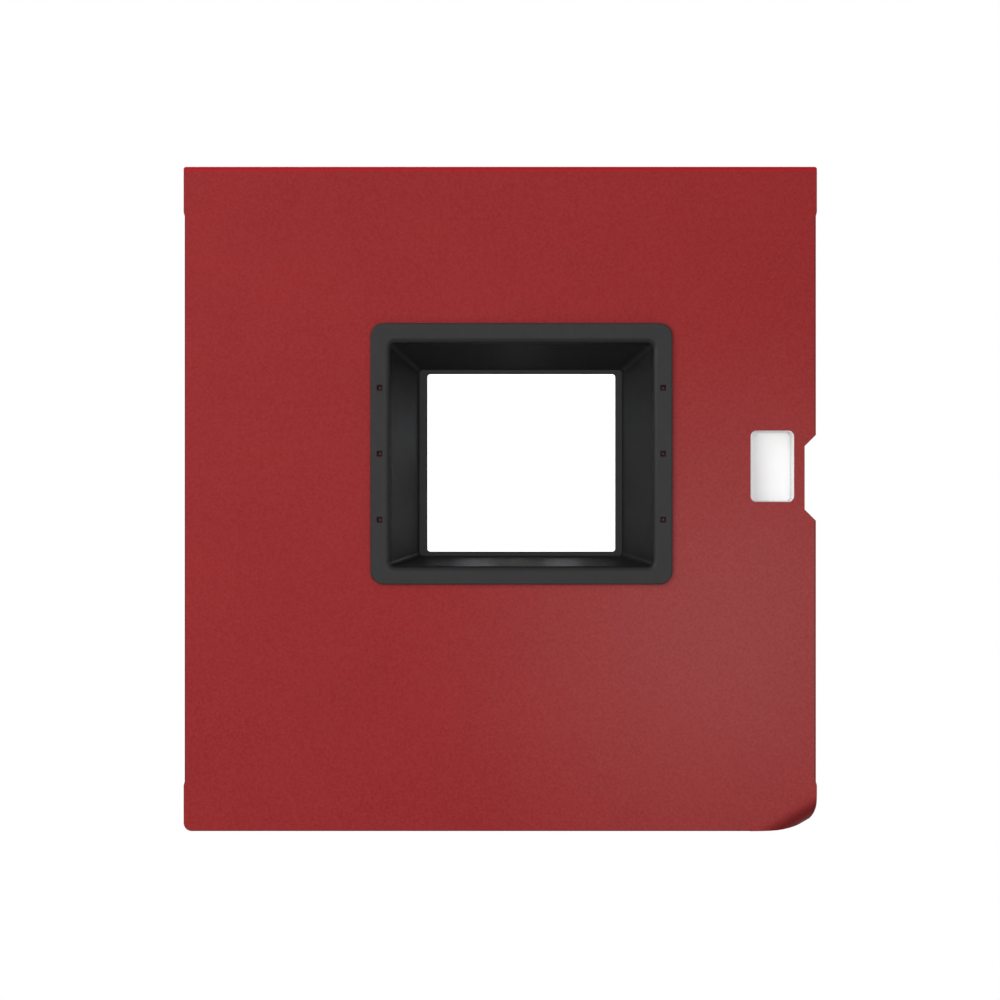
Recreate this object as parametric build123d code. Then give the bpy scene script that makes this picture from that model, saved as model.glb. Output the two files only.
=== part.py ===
from build123d import *
import math
import os

# Darkroom safelight for hanging on a wall: a white steel housing holds the lamp, and a red grained
# door carries a black hood. A holder with the opal window and the red filter slides in rails on the
# hood's back. X runs to the right, Z up, and Y into the wall, so the light leaves towards -Y.
# Every depth below is a distance from the wall plane, measured towards the viewer. All sizes in mm.

# Door face, seen from the front and centred on the frame's origin
door_width = 444.2
door_height = 466.4
cladding_thickness = 1.5      # steel sheet with a grained PVC skin
top_corner_radius = 2.0
low_corner_radius = 6.0
ear_height = 32.0             # unfolded stretch of the side edge, at top and bottom
fold_setback = 0.6            # how far the folded side edge stands inside the ears
fold_ramp = 2.5               # length over which the edge changes from one to the other
side_fold_depth = 6.5
side_fold_radius = 1.3
top_fold_depth = 10.0
top_fold_radius = 2.6
bottom_edge_radius = 1.0

# Bent lower right corner: its outline as radius and turn of each arc, and the line it bends about
corner_arcs = ((75.0, 16.0), (8.4, 42.5), (25.0, 31.5))
corner_straight = 3.2         # straight stretch after the first arc
corner_fold_run = 47.0        # where the fold line meets the bottom edge, from the corner
corner_fold_rise = 27.4       # where it meets the right edge
corner_bend_radius = 16.0
corner_bend_angle = 76.0

# Notch in the right edge, for the thumb
notch_depth = 8.0
notch_length = 44.4           # along its bottom
notch_slant = 45.0            # angle that its ends slope at
notch_height = 14.7           # centre above the door's centre

# Finger cup
cup_width = 30.6
cup_height = 50.0
cup_corner_radius = 4.0
cup_from_edge = 31.2          # cup centre from the door's right edge
cup_raise = 22.8              # cup centre above the door's centre
cup_depth = 16.0
cup_wall = 1.6
cup_flange = 3.0
cup_flange_thickness = 1.0
cup_scoop_radius = 11.0       # wide radius on the side where the fingers slide in

# Inner liner of the door
liner_thickness = 3.0
liner_gap = 0.3               # between the liner's edge and the folded sheet
liner_edge = 3.0              # liner's inset where the sheet isn't folded
liner_skin = 0.8              # left in front of the hinge screws

# Seal between the liner and the housing's rim
seal_thickness = 4.0
seal_width = 8.0
seal_clearance = 0.3

# Housing
wall_gap = 5.0                # thickness of the rubber spacers
housing_depth = 114.2
steel = 1.2                   # wall of the pan and the rim
pan_corner_radius = 4.0
hinge_side_inset = 18.8       # housing's left wall inside the door's edge
end_inset = 21.0              # housing's top and bottom inside the door's edges
cup_to_housing = 5.0          # between the cup's flange and the housing's right wall
rim_width = 16.0
rim_skirt = 12.0
rim_screw_pitch = 150.0
fit_gap = 0.1

# Wall screws
wall_hole_radius = 2.75
wall_holes_x = 270.0
wall_holes_z = 340.0
spacer_radius = 9.0

# Bezel: the hood's flange, throat and back opening, with centres from the door's centre
flange_width = 211.4
flange_height = 183.0
flange_x = 14.8
flange_z = 31.5
flange_corner_radius = 9.1
flange_thickness = 2.8
flange_edge_radius = 0.6
throat_width = 183.0
throat_height = 155.8
throat_x = 14.9
throat_z = 30.8
throat_corner_radius = 3.0
throat_depth = 3.0            # straight part of the throat behind the door's face
lip_radius = 4.4
hood_depth = 36.0             # back of the hood behind the door's face
hood_width = 145.5            # back opening
hood_height = 133.5
hood_x = 14.7
hood_z = 25.8
hood_wall = 2.4
hood_back_thickness = 2.0

# Snap hooks behind the flange, and the square mould openings above them
hook_count = 3                # on each side
hook_pitch = 46.2
hook_size = 3.8               # side of the square opening, and width of the hook
hook_from_edge = 6.4          # centre of the opening from the flange's edge
cutout_corner_radius = 1.0     # of the hole in the sheet that the hood and hooks pass through
hook_arm = 2.0
hook_barb = 2.4
hook_gap = 0.2
hook_barb_height = 2.6

# Filter holder, which slides up behind the hood
window_width = 134.9
window_height = 127.4
window_corner_radius = 2.0
window_shift = 0.4            # window's centre to the right of the hood's
holder_side = 12.0            # frame width beside the window
holder_end = 10.0             # frame width above and below the window
holder_thickness = 9.4
holder_face = 1.6
holder_wall = 3.0
holder_gap = 0.4              # running gap around the holder
opal_thickness = 3.0
glass_thickness = 3.0
pane_gap = 0.5
holder_corner_radius = 1.5
pane_corner_radius = 1.0
holder_travel = 88.0
tab_width = 32.0
tab_reach = 11.0
tab_thickness = 1.6
tab_drop = 5.0
clip_width = 14.0
clip_reach = 7.0
clip_pitch = 68.0
clip_thickness = 0.8

# Rails that guide the holder
rail_thickness = 1.2
rail_lip = 4.0
rail_foot = 8.0
rail_screw_pitch = 90.0
rail_end_gap = 0.5            # the rails end below the holder's top edge

# Hinge
hinge_length = 380.0
knuckle_count = 9
knuckle_radius = 3.2
knuckle_gap = 0.3
hinge_pin_radius = 1.5
pin_clearance = 0.05
pin_head_radius = 2.4
pin_head_height = 1.3
pin_head_gap = 0.2
leaf_thickness = 1.2
leaf_reach = 14.0
hinge_screws = 4
hinge_screw_pitch = 95.0      # in the housing's leaf
door_screw_pitch = 76.0       # in the door's leaf, so that no two heads meet when the door is open

# Lamp
lamp_depth = 43.0
bulb_radius = 22.5
bulb_drop = 12.0              # bulb centre below the window's centre
cap_radius = 13.2
cap_length = 24.0
cap_tip_radius = 4.5
cap_tip_height = 4.5
cap_thread_radius = 1.2
cap_threads = 5
cap_thread_pitch = 3.2
neck_radius = 11.5
neck_length = 13.0
socket_radius = 20.0
socket_height = 44.0
socket_bore_gap = 0.5
socket_floor = 8.0
socket_base = 20.0            # height of its wide base
socket_step = 2.0
socket_screw_pitch = 28.0
shelf_thickness = 1.6
bracket_width = 46.0
bracket_drop = 40.0
bracket_screw_drop = 26.0
bracket_screw_pitch = 30.0
bracket_wire_hole = 8.0
bracket_lip = 5.0
bracket_margin = 3.0          # shelf's front beyond the holder

# Reflector
reflector_back = 92.0         # width of its flat back
reflector_mouth = 176.0
reflector_height = 168.0
reflector_depth = 58.0
reflector_thickness = 0.8
reflector_screw_pitch_x = 76.0
reflector_screw_pitch_z = 148.0
reflector_gap = 3.0           # around the lamp bracket

# Vents
slot_count = 9
slot_width = 4.0
slot_length = 46.0
slot_pitch = 14.0
vent_depth = 52.0             # middle of the slots from the wall
cowl_height = 11.0
cowl_width = 148.0
cowl_length = 66.0
cowl_screw_pitch = 128.0
baffle_drop = 9.0
baffle_width = 142.0
baffle_length = 74.0

# Mains inlet, switch and terminal block, all at the bottom of the housing
inlet_to_baffle = 17.7        # between the bottom baffle and the inlet's body
inlet_depth = 46.0
inlet_flange_x = 48.0
inlet_flange_y = 23.0
inlet_flange_thickness = 2.4
inlet_mouth_x = 24.4
inlet_mouth_y = 16.6
inlet_mouth_depth = 16.0
inlet_key = 4.5               # cut-off corners of the mouth
inlet_wall = 2.0
inlet_screw_pitch = 40.0
inlet_pin_x = 4.0
inlet_pin_y = 2.0
inlet_pin_pitch = 7.0
inlet_pin_length = 11.0
inlet_earth_offset = 4.0
tab_length = 8.0              # solder tabs behind the inlet and the switch
tab_x = 3.2
tab_y = 0.8
switch_from_left = 107.3      # from the housing's left wall
switch_depth = 46.0
switch_body_x = 27.0
switch_body_y = 19.0
switch_body_height = 18.0
switch_flange = 1.8
switch_flange_margin = 1.8
switch_wall = 2.2
switch_tab_pitch = 13.6
rocker_angle = 9.0            # each way from level
rocker_gap = 0.4
rocker_pivot_radius = 1.5
rocker_pivot_grip = 1.2       # length of the pivot in the case's wall
rocker_pivot_rise = 4.0       # pivot above the switch's face
rocker_proud = 3.2
rocker_hub = 3.0
block_z = -128.0
block_width = 34.0
block_height = 20.0
block_depth = 16.0
block_screw_pitch = 24.0
block_corner_radius = 2.0
wire_radius = 1.1
wire_bend = 5.0
wire_entry = 4.0              # length of wire inside what it enters
wire_rise = 34.0
wire_pitch = 6.0
lamp_wire_pitch = 9.0
earth_rise = 66.0
earth_nut_radius = 4.0
earth_nut_height = 3.2

# Door catch
catch_width = 16.0
catch_length = 44.0
catch_depth = 20.0
catch_gap = 0.4
catch_foot = 3.0
strike_thickness = 1.6
strike_width = 14.0
strike_length = 40.0
strike_corner_radius = 2.0
catch_z = 22.8

# Fasteners
stud_radius = 1.5
stud_tip = 1.0
stud_inset = 38.0             # from the housing's outline
nut_radius = 3.2
nut_height = 2.4
screw_radius = 1.5
screw_head_radius = 2.9
screw_head_height = 1.6
screw_head_chamfer = 0.5
screw_recess_length = 3.4
screw_recess_width = 0.7
screw_recess_depth = 0.8
screw_length = 6.0
screw_clearance = 0.05
screw_grip = 3.0              # thread beyond what a screw holds down

# Depths that follow from the stack
pan_back = wall_gap
pan_inside = pan_back + steel
rim_front = pan_back + housing_depth
liner_back = rim_front + seal_clearance + seal_thickness
sheet_back = liner_back + liner_thickness
door_face = sheet_back + cladding_thickness
flange_face = door_face + flange_thickness
hood_back = door_face - hood_depth
holder_front = hood_back - holder_gap
holder_back = holder_front - holder_thickness

# Places that follow from the outlines
door_right = door_width / 2
door_top = door_height / 2
fold_x = door_right - fold_setback
cup_x = door_right - cup_from_edge
housing_left = -door_right + hinge_side_inset
housing_right = cup_x - cup_width / 2 - cup_flange - cup_to_housing
housing_top = door_top - end_inset
housing_bottom = -housing_top
switch_x = housing_left + switch_from_left
window_x = hood_x + window_shift
window_z = hood_z
hinge_x = housing_left - knuckle_radius
hinge_depth = liner_back - knuckle_radius - knuckle_gap
holder_left = window_x - window_width / 2 - holder_side
holder_right = window_x + window_width / 2 + holder_side
holder_bottom = window_z - window_height / 2 - holder_end
holder_top = window_z + window_height / 2 + holder_end
rail_depth = holder_back - holder_gap - rail_thickness
rail_top = holder_top - rail_end_gap
bulb_z = window_z - bulb_drop
shelf_top = bulb_z - bulb_radius - neck_length - cap_length - socket_floor
inlet_body_x = inlet_mouth_x + 2 * inlet_wall
inlet_body_y = inlet_mouth_y + 2 * inlet_wall
inlet_x = window_x + (baffle_width + inlet_body_x) / 2 + inlet_to_baffle
inlet_top = housing_bottom - inlet_flange_thickness + inlet_mouth_depth + inlet_wall
switch_top = housing_bottom - switch_flange + switch_body_height
well_x = switch_body_x / 2 - switch_wall
well_y = switch_body_y / 2 - switch_wall
rocker_pivot_z = housing_bottom - switch_flange + rocker_pivot_rise
block_front = pan_inside + block_depth
wire_depth = pan_inside + block_depth / 2
fold_land = 3 * cladding_thickness        # flat strip that a folded edge is made with
low_land = 2 * bottom_edge_radius
leaf_left = -fold_x + cladding_thickness + liner_gap
leaf_edge = hinge_x - knuckle_radius - knuckle_gap
far = 900.0                   # longer than anything here, for cutting
cut_over = 1.0                # how far a cutting body passes the face it leaves by


def rect(x0, x1, z0, z1, radius=0.0):
    """Front-view rectangle between limits, with rounded corners if radius is given."""
    middle = Pos((x0 + x1) / 2, (z0 + z1) / 2)
    if radius > 0:
        return middle * RectangleRounded(x1 - x0, z1 - z0, radius)
    return middle * Rectangle(x1 - x0, z1 - z0)


def centred(x, z, width, height, radius=0.0):
    """Front-view rectangle around a centre."""
    return rect(x - width / 2, x + width / 2, z - height / 2, z + height / 2, radius)


def slab(outline, back, front):
    """Solid of a front-view outline between two depths."""
    return extrude(Plane.XZ.offset(back) * outline, front - back)


def block(x0, x1, back, front, z0, z1):
    """Box between limits."""
    return slab(rect(x0, x1, z0, z1), back, front)


def column(x, depth, size_x, size_y, z0, z1):
    """Upright box around a centre in the top view."""
    return Pos(x, -depth, (z0 + z1) / 2) * Box(size_x, size_y, abs(z1 - z0))


def rod(x, z, radius, back, front):
    """Cylinder that points at the viewer."""
    return slab(Pos(x, z) * Circle(radius), back, front)


def post(x, depth, radius, z0, z1):
    """Upright cylinder."""
    return Pos(x, -depth, (z0 + z1) / 2) * Cylinder(radius, z1 - z0)


def screw_hole(x, z, back=0.0, front=far):
    """Clearance hole for a screw that points at the viewer."""
    return rod(x, z, screw_radius + screw_clearance, back, front)


def upright_hole(x, depth, z, reach):
    """Clearance hole for a screw along Z, to both sides of a height."""
    return post(x, depth, screw_radius + screw_clearance, z - reach, z + reach)


def side_hole(z, depth):
    """Clearance hole for a screw through the housing's left wall."""
    hole = Cylinder(screw_radius + screw_clearance, 8 * steel)
    return Pos(housing_left, -depth, z) * Rot(0, 90, 0) * hole


def spread(count, step):
    """Places of a row, centred on zero."""
    return [(index - (count - 1) / 2) * step for index in range(count)]


def group(shapes):
    """One node of several separate solids."""
    return Compound(children=[s for shape in shapes for s in shape.solids()])


def plain_screw(length):
    """Pan head screw with a cross recess: its seat is at the origin and its head stands along +Z."""
    head = Cylinder(screw_head_radius, screw_head_height, align=(Align.CENTER, Align.CENTER, Align.MIN))
    head = chamfer(head.edges().filter_by(GeomType.CIRCLE).sort_by(Axis.Z)[-1], screw_head_chamfer)
    shank = Cylinder(screw_radius, length, align=(Align.CENTER, Align.CENTER, Align.MAX))
    recess = Box(screw_recess_length, screw_recess_width, screw_recess_depth)
    recess += Rot(0, 0, 90) * recess
    return head + shank - Pos(0, 0, screw_head_height - screw_recess_depth / 2) * recess


def screw(x, z, seat, towards=1, length=screw_length):
    """Screw along Y, whose head points at the viewer, or at the wall if towards is -1."""
    return Pos(x, -seat, z) * Rot(towards * 90, 0, 0) * plain_screw(length)


def standing_screw(x, depth, z, way, length=screw_length):
    """Screw along Z, with its head up if way is 1 and down if it is -1."""
    return Pos(x, -depth, z) * Rot(90 - way * 90, 0, 0) * plain_screw(length)


def corner_curve():
    """Edges of the bent corner's outline, from a start at the origin, and where they end."""
    edges, point, heading = [], Vector(0, 0), 0.0
    for index, (radius, turn) in enumerate(corner_arcs):
        way = Vector(math.cos(math.radians(heading)), math.sin(math.radians(heading)))
        arc = JernArc(start=point, tangent=way, radius=radius, arc_size=turn)
        edges.append(arc)
        point, heading = arc @ 1, heading + turn
        if index == 0:
            way = Vector(math.cos(math.radians(heading)), math.sin(math.radians(heading)))
            edges.append(Line(point, point + way * corner_straight))
            point = edges[-1] @ 1
    return edges, point


def corner_offcut():
    """What the bent corner lacks of a full rectangle, as a front-view outline."""
    edges, end = corner_curve()
    shift = Pos(door_right - end.X, -door_top)
    right, top, low = end.X + cut_over, end.Y + cut_over, -cut_over
    outside = Polyline((end.X, end.Y), (end.X, top), (right, top), (right, low), (low, low), (low, 0), (0, 0))
    return shift * make_face([edge for piece in (*edges, outside) for edge in piece.edges()])


def silhouette():
    """Outline of the door's sheet, ears and folded stretches included."""
    outline = Rectangle(door_width, door_height)
    outline = fillet(outline.vertices().sort_by(Axis.Y)[2:], top_corner_radius)
    low_left = outline.vertices().sort_by(Axis.Y)[:2].sort_by(Axis.X)[0]
    outline = fillet(low_left, low_corner_radius)
    ear_end = door_top - ear_height
    for side in (-1, 1):
        outer, inner = side * (door_right + cut_over), side * fold_x
        edge = side * door_right
        relief = Polyline((edge, ear_end), (inner, ear_end - fold_ramp), (inner, fold_ramp - ear_end),
                          (edge, -ear_end), (outer, -ear_end), (outer, ear_end), (edge, ear_end))
        outline = outline - make_face(relief.edges())
    return outline - corner_offcut()


def notch(grow=0.0):
    """Outline of the notch in the right edge, grown all round."""
    inner = fold_x - notch_depth - grow
    outer = door_right + cut_over
    half = notch_length / 2 + grow * math.tan(math.radians(notch_slant / 2))
    reach = half + (outer - inner) / math.tan(math.radians(notch_slant))
    corners = [(inner, half), (outer, reach), (outer, -reach), (inner, -half), (inner, half)]
    return Pos(0, notch_height) * make_face(Polyline(*corners).edges())


def folded_edge(length, depth, radius):
    """Sheet folded back along an edge, in its own axes: X outwards to 0, Y backwards from 0, along Z."""
    t = cladding_thickness
    section = Rectangle(fold_land, depth, align=(Align.MAX, Align.MIN))
    section = fillet(section.vertices().sort_by(Axis.Y)[:2].sort_by(Axis.X)[-1], radius)
    inside = Pos(-t, t) * Rectangle(fold_land, depth, align=(Align.MAX, Align.MIN))
    if radius > t:
        inside = fillet(inside.vertices().sort_by(Axis.Y)[:2].sort_by(Axis.X)[-1], radius - t)
    return extrude(section - inside, length)


def fold_plane():
    """Plane across the corner's fold: X away from the door, Y backwards, Z along the fold line."""
    run = Vector(corner_fold_run, 0, corner_fold_rise).normalized()
    return Plane(origin=(door_right - corner_fold_run, -door_face, -door_top),
                 x_dir=(run.Z, 0, -run.X), z_dir=tuple(run))


def bent_corner():
    """The sheet behind the fold line, rolled back about it."""
    inner = corner_bend_radius - cladding_thickness
    middle = (0, corner_bend_radius)
    outside = CenterArc(middle, corner_bend_radius, -90, corner_bend_angle)
    inside = CenterArc(middle, inner, -90, corner_bend_angle)
    ends = [Line(outside @ 0, inside @ 0), Line(outside @ 1, inside @ 1)]
    section = make_face([*outside.edges(), *inside.edges(), *ends[0].edges(), *ends[1].edges()])
    reach = corner_fold_run + corner_fold_rise
    rolled = fold_plane().offset(-reach) * section
    return extrude(rolled, 3 * reach)


def stud_places():
    """Front-view places of the welded studs that hold the liner."""
    left, right = housing_left + stud_inset, housing_right - stud_inset
    columns = (left, (left + right) / 2, right, cup_x)
    return [(x, side * (housing_top - stud_inset)) for x in columns for side in (-1, 1)]


def door_cutout():
    """Opening in the sheet and liner that the hood and its hooks pass through."""
    left = flange_x - flange_width / 2 + hook_from_edge + hook_size / 2
    right = flange_x + flange_width / 2 - hook_from_edge - hook_size / 2
    half = throat_height / 2 + hood_wall + hook_gap
    return rect(left, right, throat_z - half, throat_z + half, cutout_corner_radius)


def door_cladding():
    shape = silhouette()
    sheet = slab(shape, sheet_back, door_face)
    back, front = sheet_back - cut_over, door_face + cut_over
    ear_end = door_top - ear_height - fold_ramp
    for side in (-1, 1):
        low, high = sorted((side * (fold_x - fold_land), side * (fold_x + cut_over)))
        sheet -= block(low, high, back, front, -ear_end, ear_end)
    sheet -= block(-far, far, back, front, door_top - fold_land, far)
    sheet -= block(-far, far, back, front, -far, low_land - door_top)
    behind = fold_plane() * Box(far, far, far, align=(Align.MIN, Align.CENTER, Align.CENTER))
    sheet -= behind

    side_fold = folded_edge(2 * ear_end, side_fold_depth, side_fold_radius)
    right_fold = Pos(fold_x, -door_face, -ear_end) * side_fold
    left_fold = mirror(right_fold, Plane.YZ)
    top_fold = Plane(origin=(door_right, -door_face, door_top), x_dir=(0, 0, 1), z_dir=(-1, 0, 0))
    top_strip = top_fold * folded_edge(door_width, top_fold_depth, top_fold_radius)
    low_strip = Rectangle(low_land, cladding_thickness, align=(Align.MAX, Align.MIN))
    low_strip = fillet(low_strip.vertices().sort_by(Axis.Y)[:2].sort_by(Axis.X)[-1], bottom_edge_radius)
    low_place = Plane(origin=(-door_right, -door_face, -door_top), x_dir=(0, 0, -1), z_dir=(1, 0, 0))
    low_strip = low_place * extrude(low_strip, door_width)
    low_strip -= behind

    prism = slab(shape, door_face - corner_bend_radius, door_face)
    body = (sheet + low_strip + right_fold + left_fold + top_strip) & prism
    body = body + (bent_corner() & prism)
    body -= slab(door_cutout(), 0, far)
    body -= slab(cup_outline(), 0, far)
    return body - slab(notch(), 0, far)


def door_studs():
    """Studs welded to the sheet's back, which hold the liner."""
    tip = liner_back - nut_height - stud_tip
    return group([rod(x, z, stud_radius, tip, sheet_back) for x, z in stud_places()])


def door_liner():
    side = fold_x - cladding_thickness - liner_gap
    outline = rect(-side, side, liner_edge - door_top, door_top - top_fold_radius - liner_gap)
    body = slab(outline, liner_back, sheet_back)
    behind = Box(far, far, far, align=(Align.MIN, Align.CENTER, Align.CENTER))
    body -= fold_plane() * Pos(-liner_edge, 0, 0) * behind
    body -= slab(notch(liner_edge / 2), 0, far)
    body -= slab(door_cutout(), 0, far)
    body -= slab(cup_outline(cup_wall + fit_gap), 0, far)
    body -= slab(cup_outline(cup_flange + fit_gap), sheet_back - cup_flange_thickness, far)
    for x, z in stud_places():
        body -= rod(x, z, stud_radius + screw_clearance, 0, far)
    for x, z in door_leaf_screw_places():
        body -= screw_hole(x, z, 0, sheet_back - liner_skin)
    return body


def liner_nuts():
    nuts = []
    for x, z in stud_places():
        outline = Pos(x, z) * (RegularPolygon(nut_radius, 6) - Circle(stud_radius + screw_clearance))
        nuts.append(slab(outline, liner_back - nut_height, liner_back))
    return group(nuts)


def cup_outline(grow=0.0):
    """Finger cup's opening, grown all round."""
    return centred(cup_x, cup_raise, cup_width + 2 * grow, cup_height + 2 * grow, cup_corner_radius + grow)


def cup_pocket(wall):
    """Hollow of the finger cup, or its outside if wall is given: a scoop on the hinge's side."""
    width, depth = cup_width + 2 * wall, cup_depth + wall
    section = Pos(cup_x, depth / 2 - sheet_back) * Rectangle(width, depth)
    scoop = section.vertices().sort_by(Axis.Y)[2:].sort_by(Axis.X)[0]
    trough = extrude(fillet(scoop, cup_scoop_radius + wall), far, both=True)
    return trough & slab(cup_outline(wall), 0, sheet_back)


def finger_cup():
    flange = slab(cup_outline(cup_flange), sheet_back - cup_flange_thickness, sheet_back)
    return flange + cup_pocket(cup_wall) - cup_pocket(0)


def housing_outline(inset, radius):
    """Housing's outline, drawn in by inset on every side."""
    x0, x1 = housing_left + inset, housing_right - inset
    return rect(x0, x1, housing_bottom + inset, housing_top - inset, radius)


def door_seal():
    middle = rim_width / 2
    ring = housing_outline(middle - seal_width / 2, pan_corner_radius)
    ring -= housing_outline(middle + seal_width / 2, pan_corner_radius)
    return slab(ring, liner_back - seal_thickness, liner_back)


def hood_solid(grow):
    """Solid between the throat and the back opening, grown sideways."""
    start = door_face - throat_depth
    radius = throat_corner_radius + grow
    throat = centred(throat_x, throat_z, throat_width + 2 * grow, throat_height + 2 * grow, radius)
    back = centred(hood_x, hood_z, hood_width + 2 * grow, hood_height + 2 * grow, radius)
    taper = loft([Plane.XZ.offset(start) * throat, Plane.XZ.offset(hood_back) * back])
    return taper + slab(throat, start, flange_face)


def hook_places():
    """Side, opening centre and height of each snap hook."""
    for side in (-1, 1):
        x = flange_x + side * (flange_width / 2 - hook_from_edge)
        for step in spread(hook_count, hook_pitch):
            yield side, x, flange_z + step


def hood_foot():
    """Plate around the hood's back opening, where the rails are screwed on."""
    out = rail_foot + rail_thickness + holder_gap
    return rect(holder_left - out, holder_right + out, holder_bottom - out, rail_top)


def bezel():
    outline = centred(flange_x, flange_z, flange_width, flange_height, flange_corner_radius)
    flange = slab(outline, door_face, flange_face)
    rim = flange.faces().sort_by(Axis.Y)[0].edges()
    flange = fillet(rim, flange_edge_radius)
    foot = slab(hood_foot(), hood_back, hood_back + hood_back_thickness)
    body = flange + hood_solid(hood_wall) + foot - hood_solid(0)
    mouth = body.faces().filter_by(Axis.Y).sort_by(Axis.Y)[0].inner_wires()[0].edges()
    body = fillet(mouth, lip_radius)
    half = hook_size / 2
    for side, x, z in hook_places():
        body -= block(x - half, x + half, door_face - cut_over, far, z - half, z + half)
        edge = x - side * half
        arm = sorted((edge - side * hook_gap, edge - side * (hook_gap + hook_arm)))
        barb = sorted((edge - side * hook_gap, edge + side * (hook_barb - hook_gap)))
        catch = liner_back - hook_gap
        body += block(arm[0], arm[1], catch - hook_barb_height, door_face, z - half, z + half)
        body += block(barb[0], barb[1], catch - hook_barb_height, catch, z - half, z + half)
    for x, z in rail_screw_places():
        body -= screw_hole(x, z, 0, hood_back + hood_back_thickness)
    return body


def rail_screw_places():
    """Two screws for each side rail and two for the bottom one."""
    out = holder_gap + rail_thickness + rail_foot / 2
    middle = (holder_top + holder_bottom) / 2
    heights = [middle + z for z in spread(2, rail_screw_pitch)]
    sides = [(x, z) for x in (holder_left - out, holder_right + out) for z in heights]
    low = [(window_x + x, holder_bottom - out) for x in spread(2, rail_screw_pitch)]
    return sides + low


def rail_section(length):
    """Rail in its own axes: X from the holder's edge outwards, Y forwards from its rear lip, along Z."""
    t = rail_thickness
    height = hood_back - rail_depth
    web = Pos(holder_gap, 0) * Rectangle(t, height, align=(Align.MIN, Align.MIN))
    lip = Pos(-rail_lip, 0) * Rectangle(rail_lip + holder_gap + t, t, align=(Align.MIN, Align.MIN))
    foot = Pos(holder_gap, height - t) * Rectangle(t + rail_foot, t, align=(Align.MIN, Align.MIN))
    return extrude(web + lip + foot, length)


def holder_rail(side):
    """Upright rail beside the holder; side is -1 for the left one and 1 for the right one."""
    edge = holder_right if side > 0 else holder_left
    start = rail_top if side > 0 else holder_bottom
    place = Plane(origin=(edge, -rail_depth, start), x_dir=(side, 0, 0), z_dir=(0, 0, -side))
    rail = place * rail_section(rail_top - holder_bottom)
    for x, z in rail_screw_places()[:4]:
        rail -= screw_hole(x, z)
    return rail


def bottom_rail():
    """Stop under the holder."""
    start = (window_x + window_width / 2, -rail_depth, holder_bottom)
    rail = Plane(origin=start, x_dir=(0, 0, -1), z_dir=(-1, 0, 0)) * rail_section(window_width)
    for x, z in rail_screw_places()[4:]:
        rail -= screw_hole(x, z)
    return rail


def rail_screws():
    length = rail_thickness + hood_back_thickness
    return group([screw(x, z, hood_back - rail_thickness, -1, length) for x, z in rail_screw_places()])


def holder_frame():
    outline = rect(holder_left, holder_right, holder_bottom, holder_top, holder_corner_radius)
    body = slab(outline, holder_back, holder_front)
    body -= slab(centred(window_x, window_z, window_width, window_height, window_corner_radius), 0, far)
    inside = rect(holder_left + holder_wall, holder_right - holder_wall, holder_bottom + holder_wall,
                  holder_top - holder_wall)
    body -= slab(inside, 0, holder_front - holder_face)
    return body


def pane(thickness, front):
    side = holder_wall + pane_gap
    x0, x1 = holder_left + side, holder_right - side
    z0, z1 = holder_bottom + side, holder_top - side
    return slab(rect(x0, x1, z0, z1, pane_corner_radius), front - thickness, front)


def opal_diffuser():
    return pane(opal_thickness, holder_front - holder_face)


def filter_glass():
    return pane(glass_thickness, holder_front - holder_face - opal_thickness)


def glass_clips():
    """Spring clips that bear on the glass from the holder's edge."""
    glass_back = holder_front - holder_face - opal_thickness - glass_thickness
    clips = []
    for edge, way in ((holder_top - holder_wall, -1), (holder_bottom + holder_wall, 1)):
        for x in spread(2, clip_pitch):
            x0, x1 = window_x + x - clip_width / 2, window_x + x + clip_width / 2
            wall, tip = edge + way * clip_thickness, edge + way * clip_reach
            upright = block(x0, x1, holder_back, glass_back, *sorted((edge, wall)))
            leaf = block(x0, x1, glass_back - clip_thickness, glass_back, *sorted((edge, tip)))
            clips.append(upright + leaf)
    return group(clips)


def holder_tab():
    """Lifting tab on the holder's top edge, bent backwards."""
    x0, x1 = window_x - tab_width / 2, window_x + tab_width / 2
    back = holder_back - tab_reach
    leaf = block(x0, x1, holder_back - tab_thickness, holder_back, holder_top - holder_wall, holder_top)
    reach = block(x0, x1, back, holder_back, holder_top - tab_thickness, holder_top)
    grip = block(x0, x1, back, back + tab_thickness, holder_top - tab_drop, holder_top)
    return leaf + reach + grip


def wall_hole_places():
    return [(sx * wall_holes_x / 2, sz * wall_holes_z / 2) for sx in (-1, 1) for sz in (-1, 1)]


def slot_places():
    return [window_x + step for step in spread(slot_count, slot_pitch)]


def reflector_screw_places():
    columns = spread(2, reflector_screw_pitch_x)
    return [(window_x + x, window_z + z) for x in columns for z in spread(2, reflector_screw_pitch_z)]


def bracket_screw_places():
    return [(window_x + x, shelf_top - bracket_screw_drop) for x in spread(2, bracket_screw_pitch)]


def housing_pan():
    body = slab(housing_outline(0, pan_corner_radius), pan_back, rim_front - steel)
    body -= slab(housing_outline(steel, pan_corner_radius - steel), pan_inside, rim_front)
    for x, z in wall_hole_places():
        body -= rod(x, z, wall_hole_radius, 0, pan_inside)
    for x, z in reflector_screw_places() + bracket_screw_places() + block_screw_places():
        body -= screw_hole(x, z, 0, pan_inside)
    for x in slot_places():
        for z in (housing_top, housing_bottom):
            body -= column(x, vent_depth, slot_width, slot_length, z - 2 * steel, z + 2 * steel)
    low = (housing_bottom - steel, housing_bottom + 2 * steel)
    body -= column(inlet_x, inlet_depth, inlet_body_x + 2 * fit_gap, inlet_body_y + 2 * fit_gap, *low)
    body -= column(switch_x, switch_depth, switch_body_x + 2 * fit_gap, switch_body_y + 2 * fit_gap, *low)
    for x, depth, z, _ in rim_screw_places() + inlet_screw_places() + cowl_screw_places():
        body -= upright_hole(x, depth, z, 2 * steel)
    for z, depth in hinge_screw_places():
        body -= side_hole(z, depth)
    return body


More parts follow.
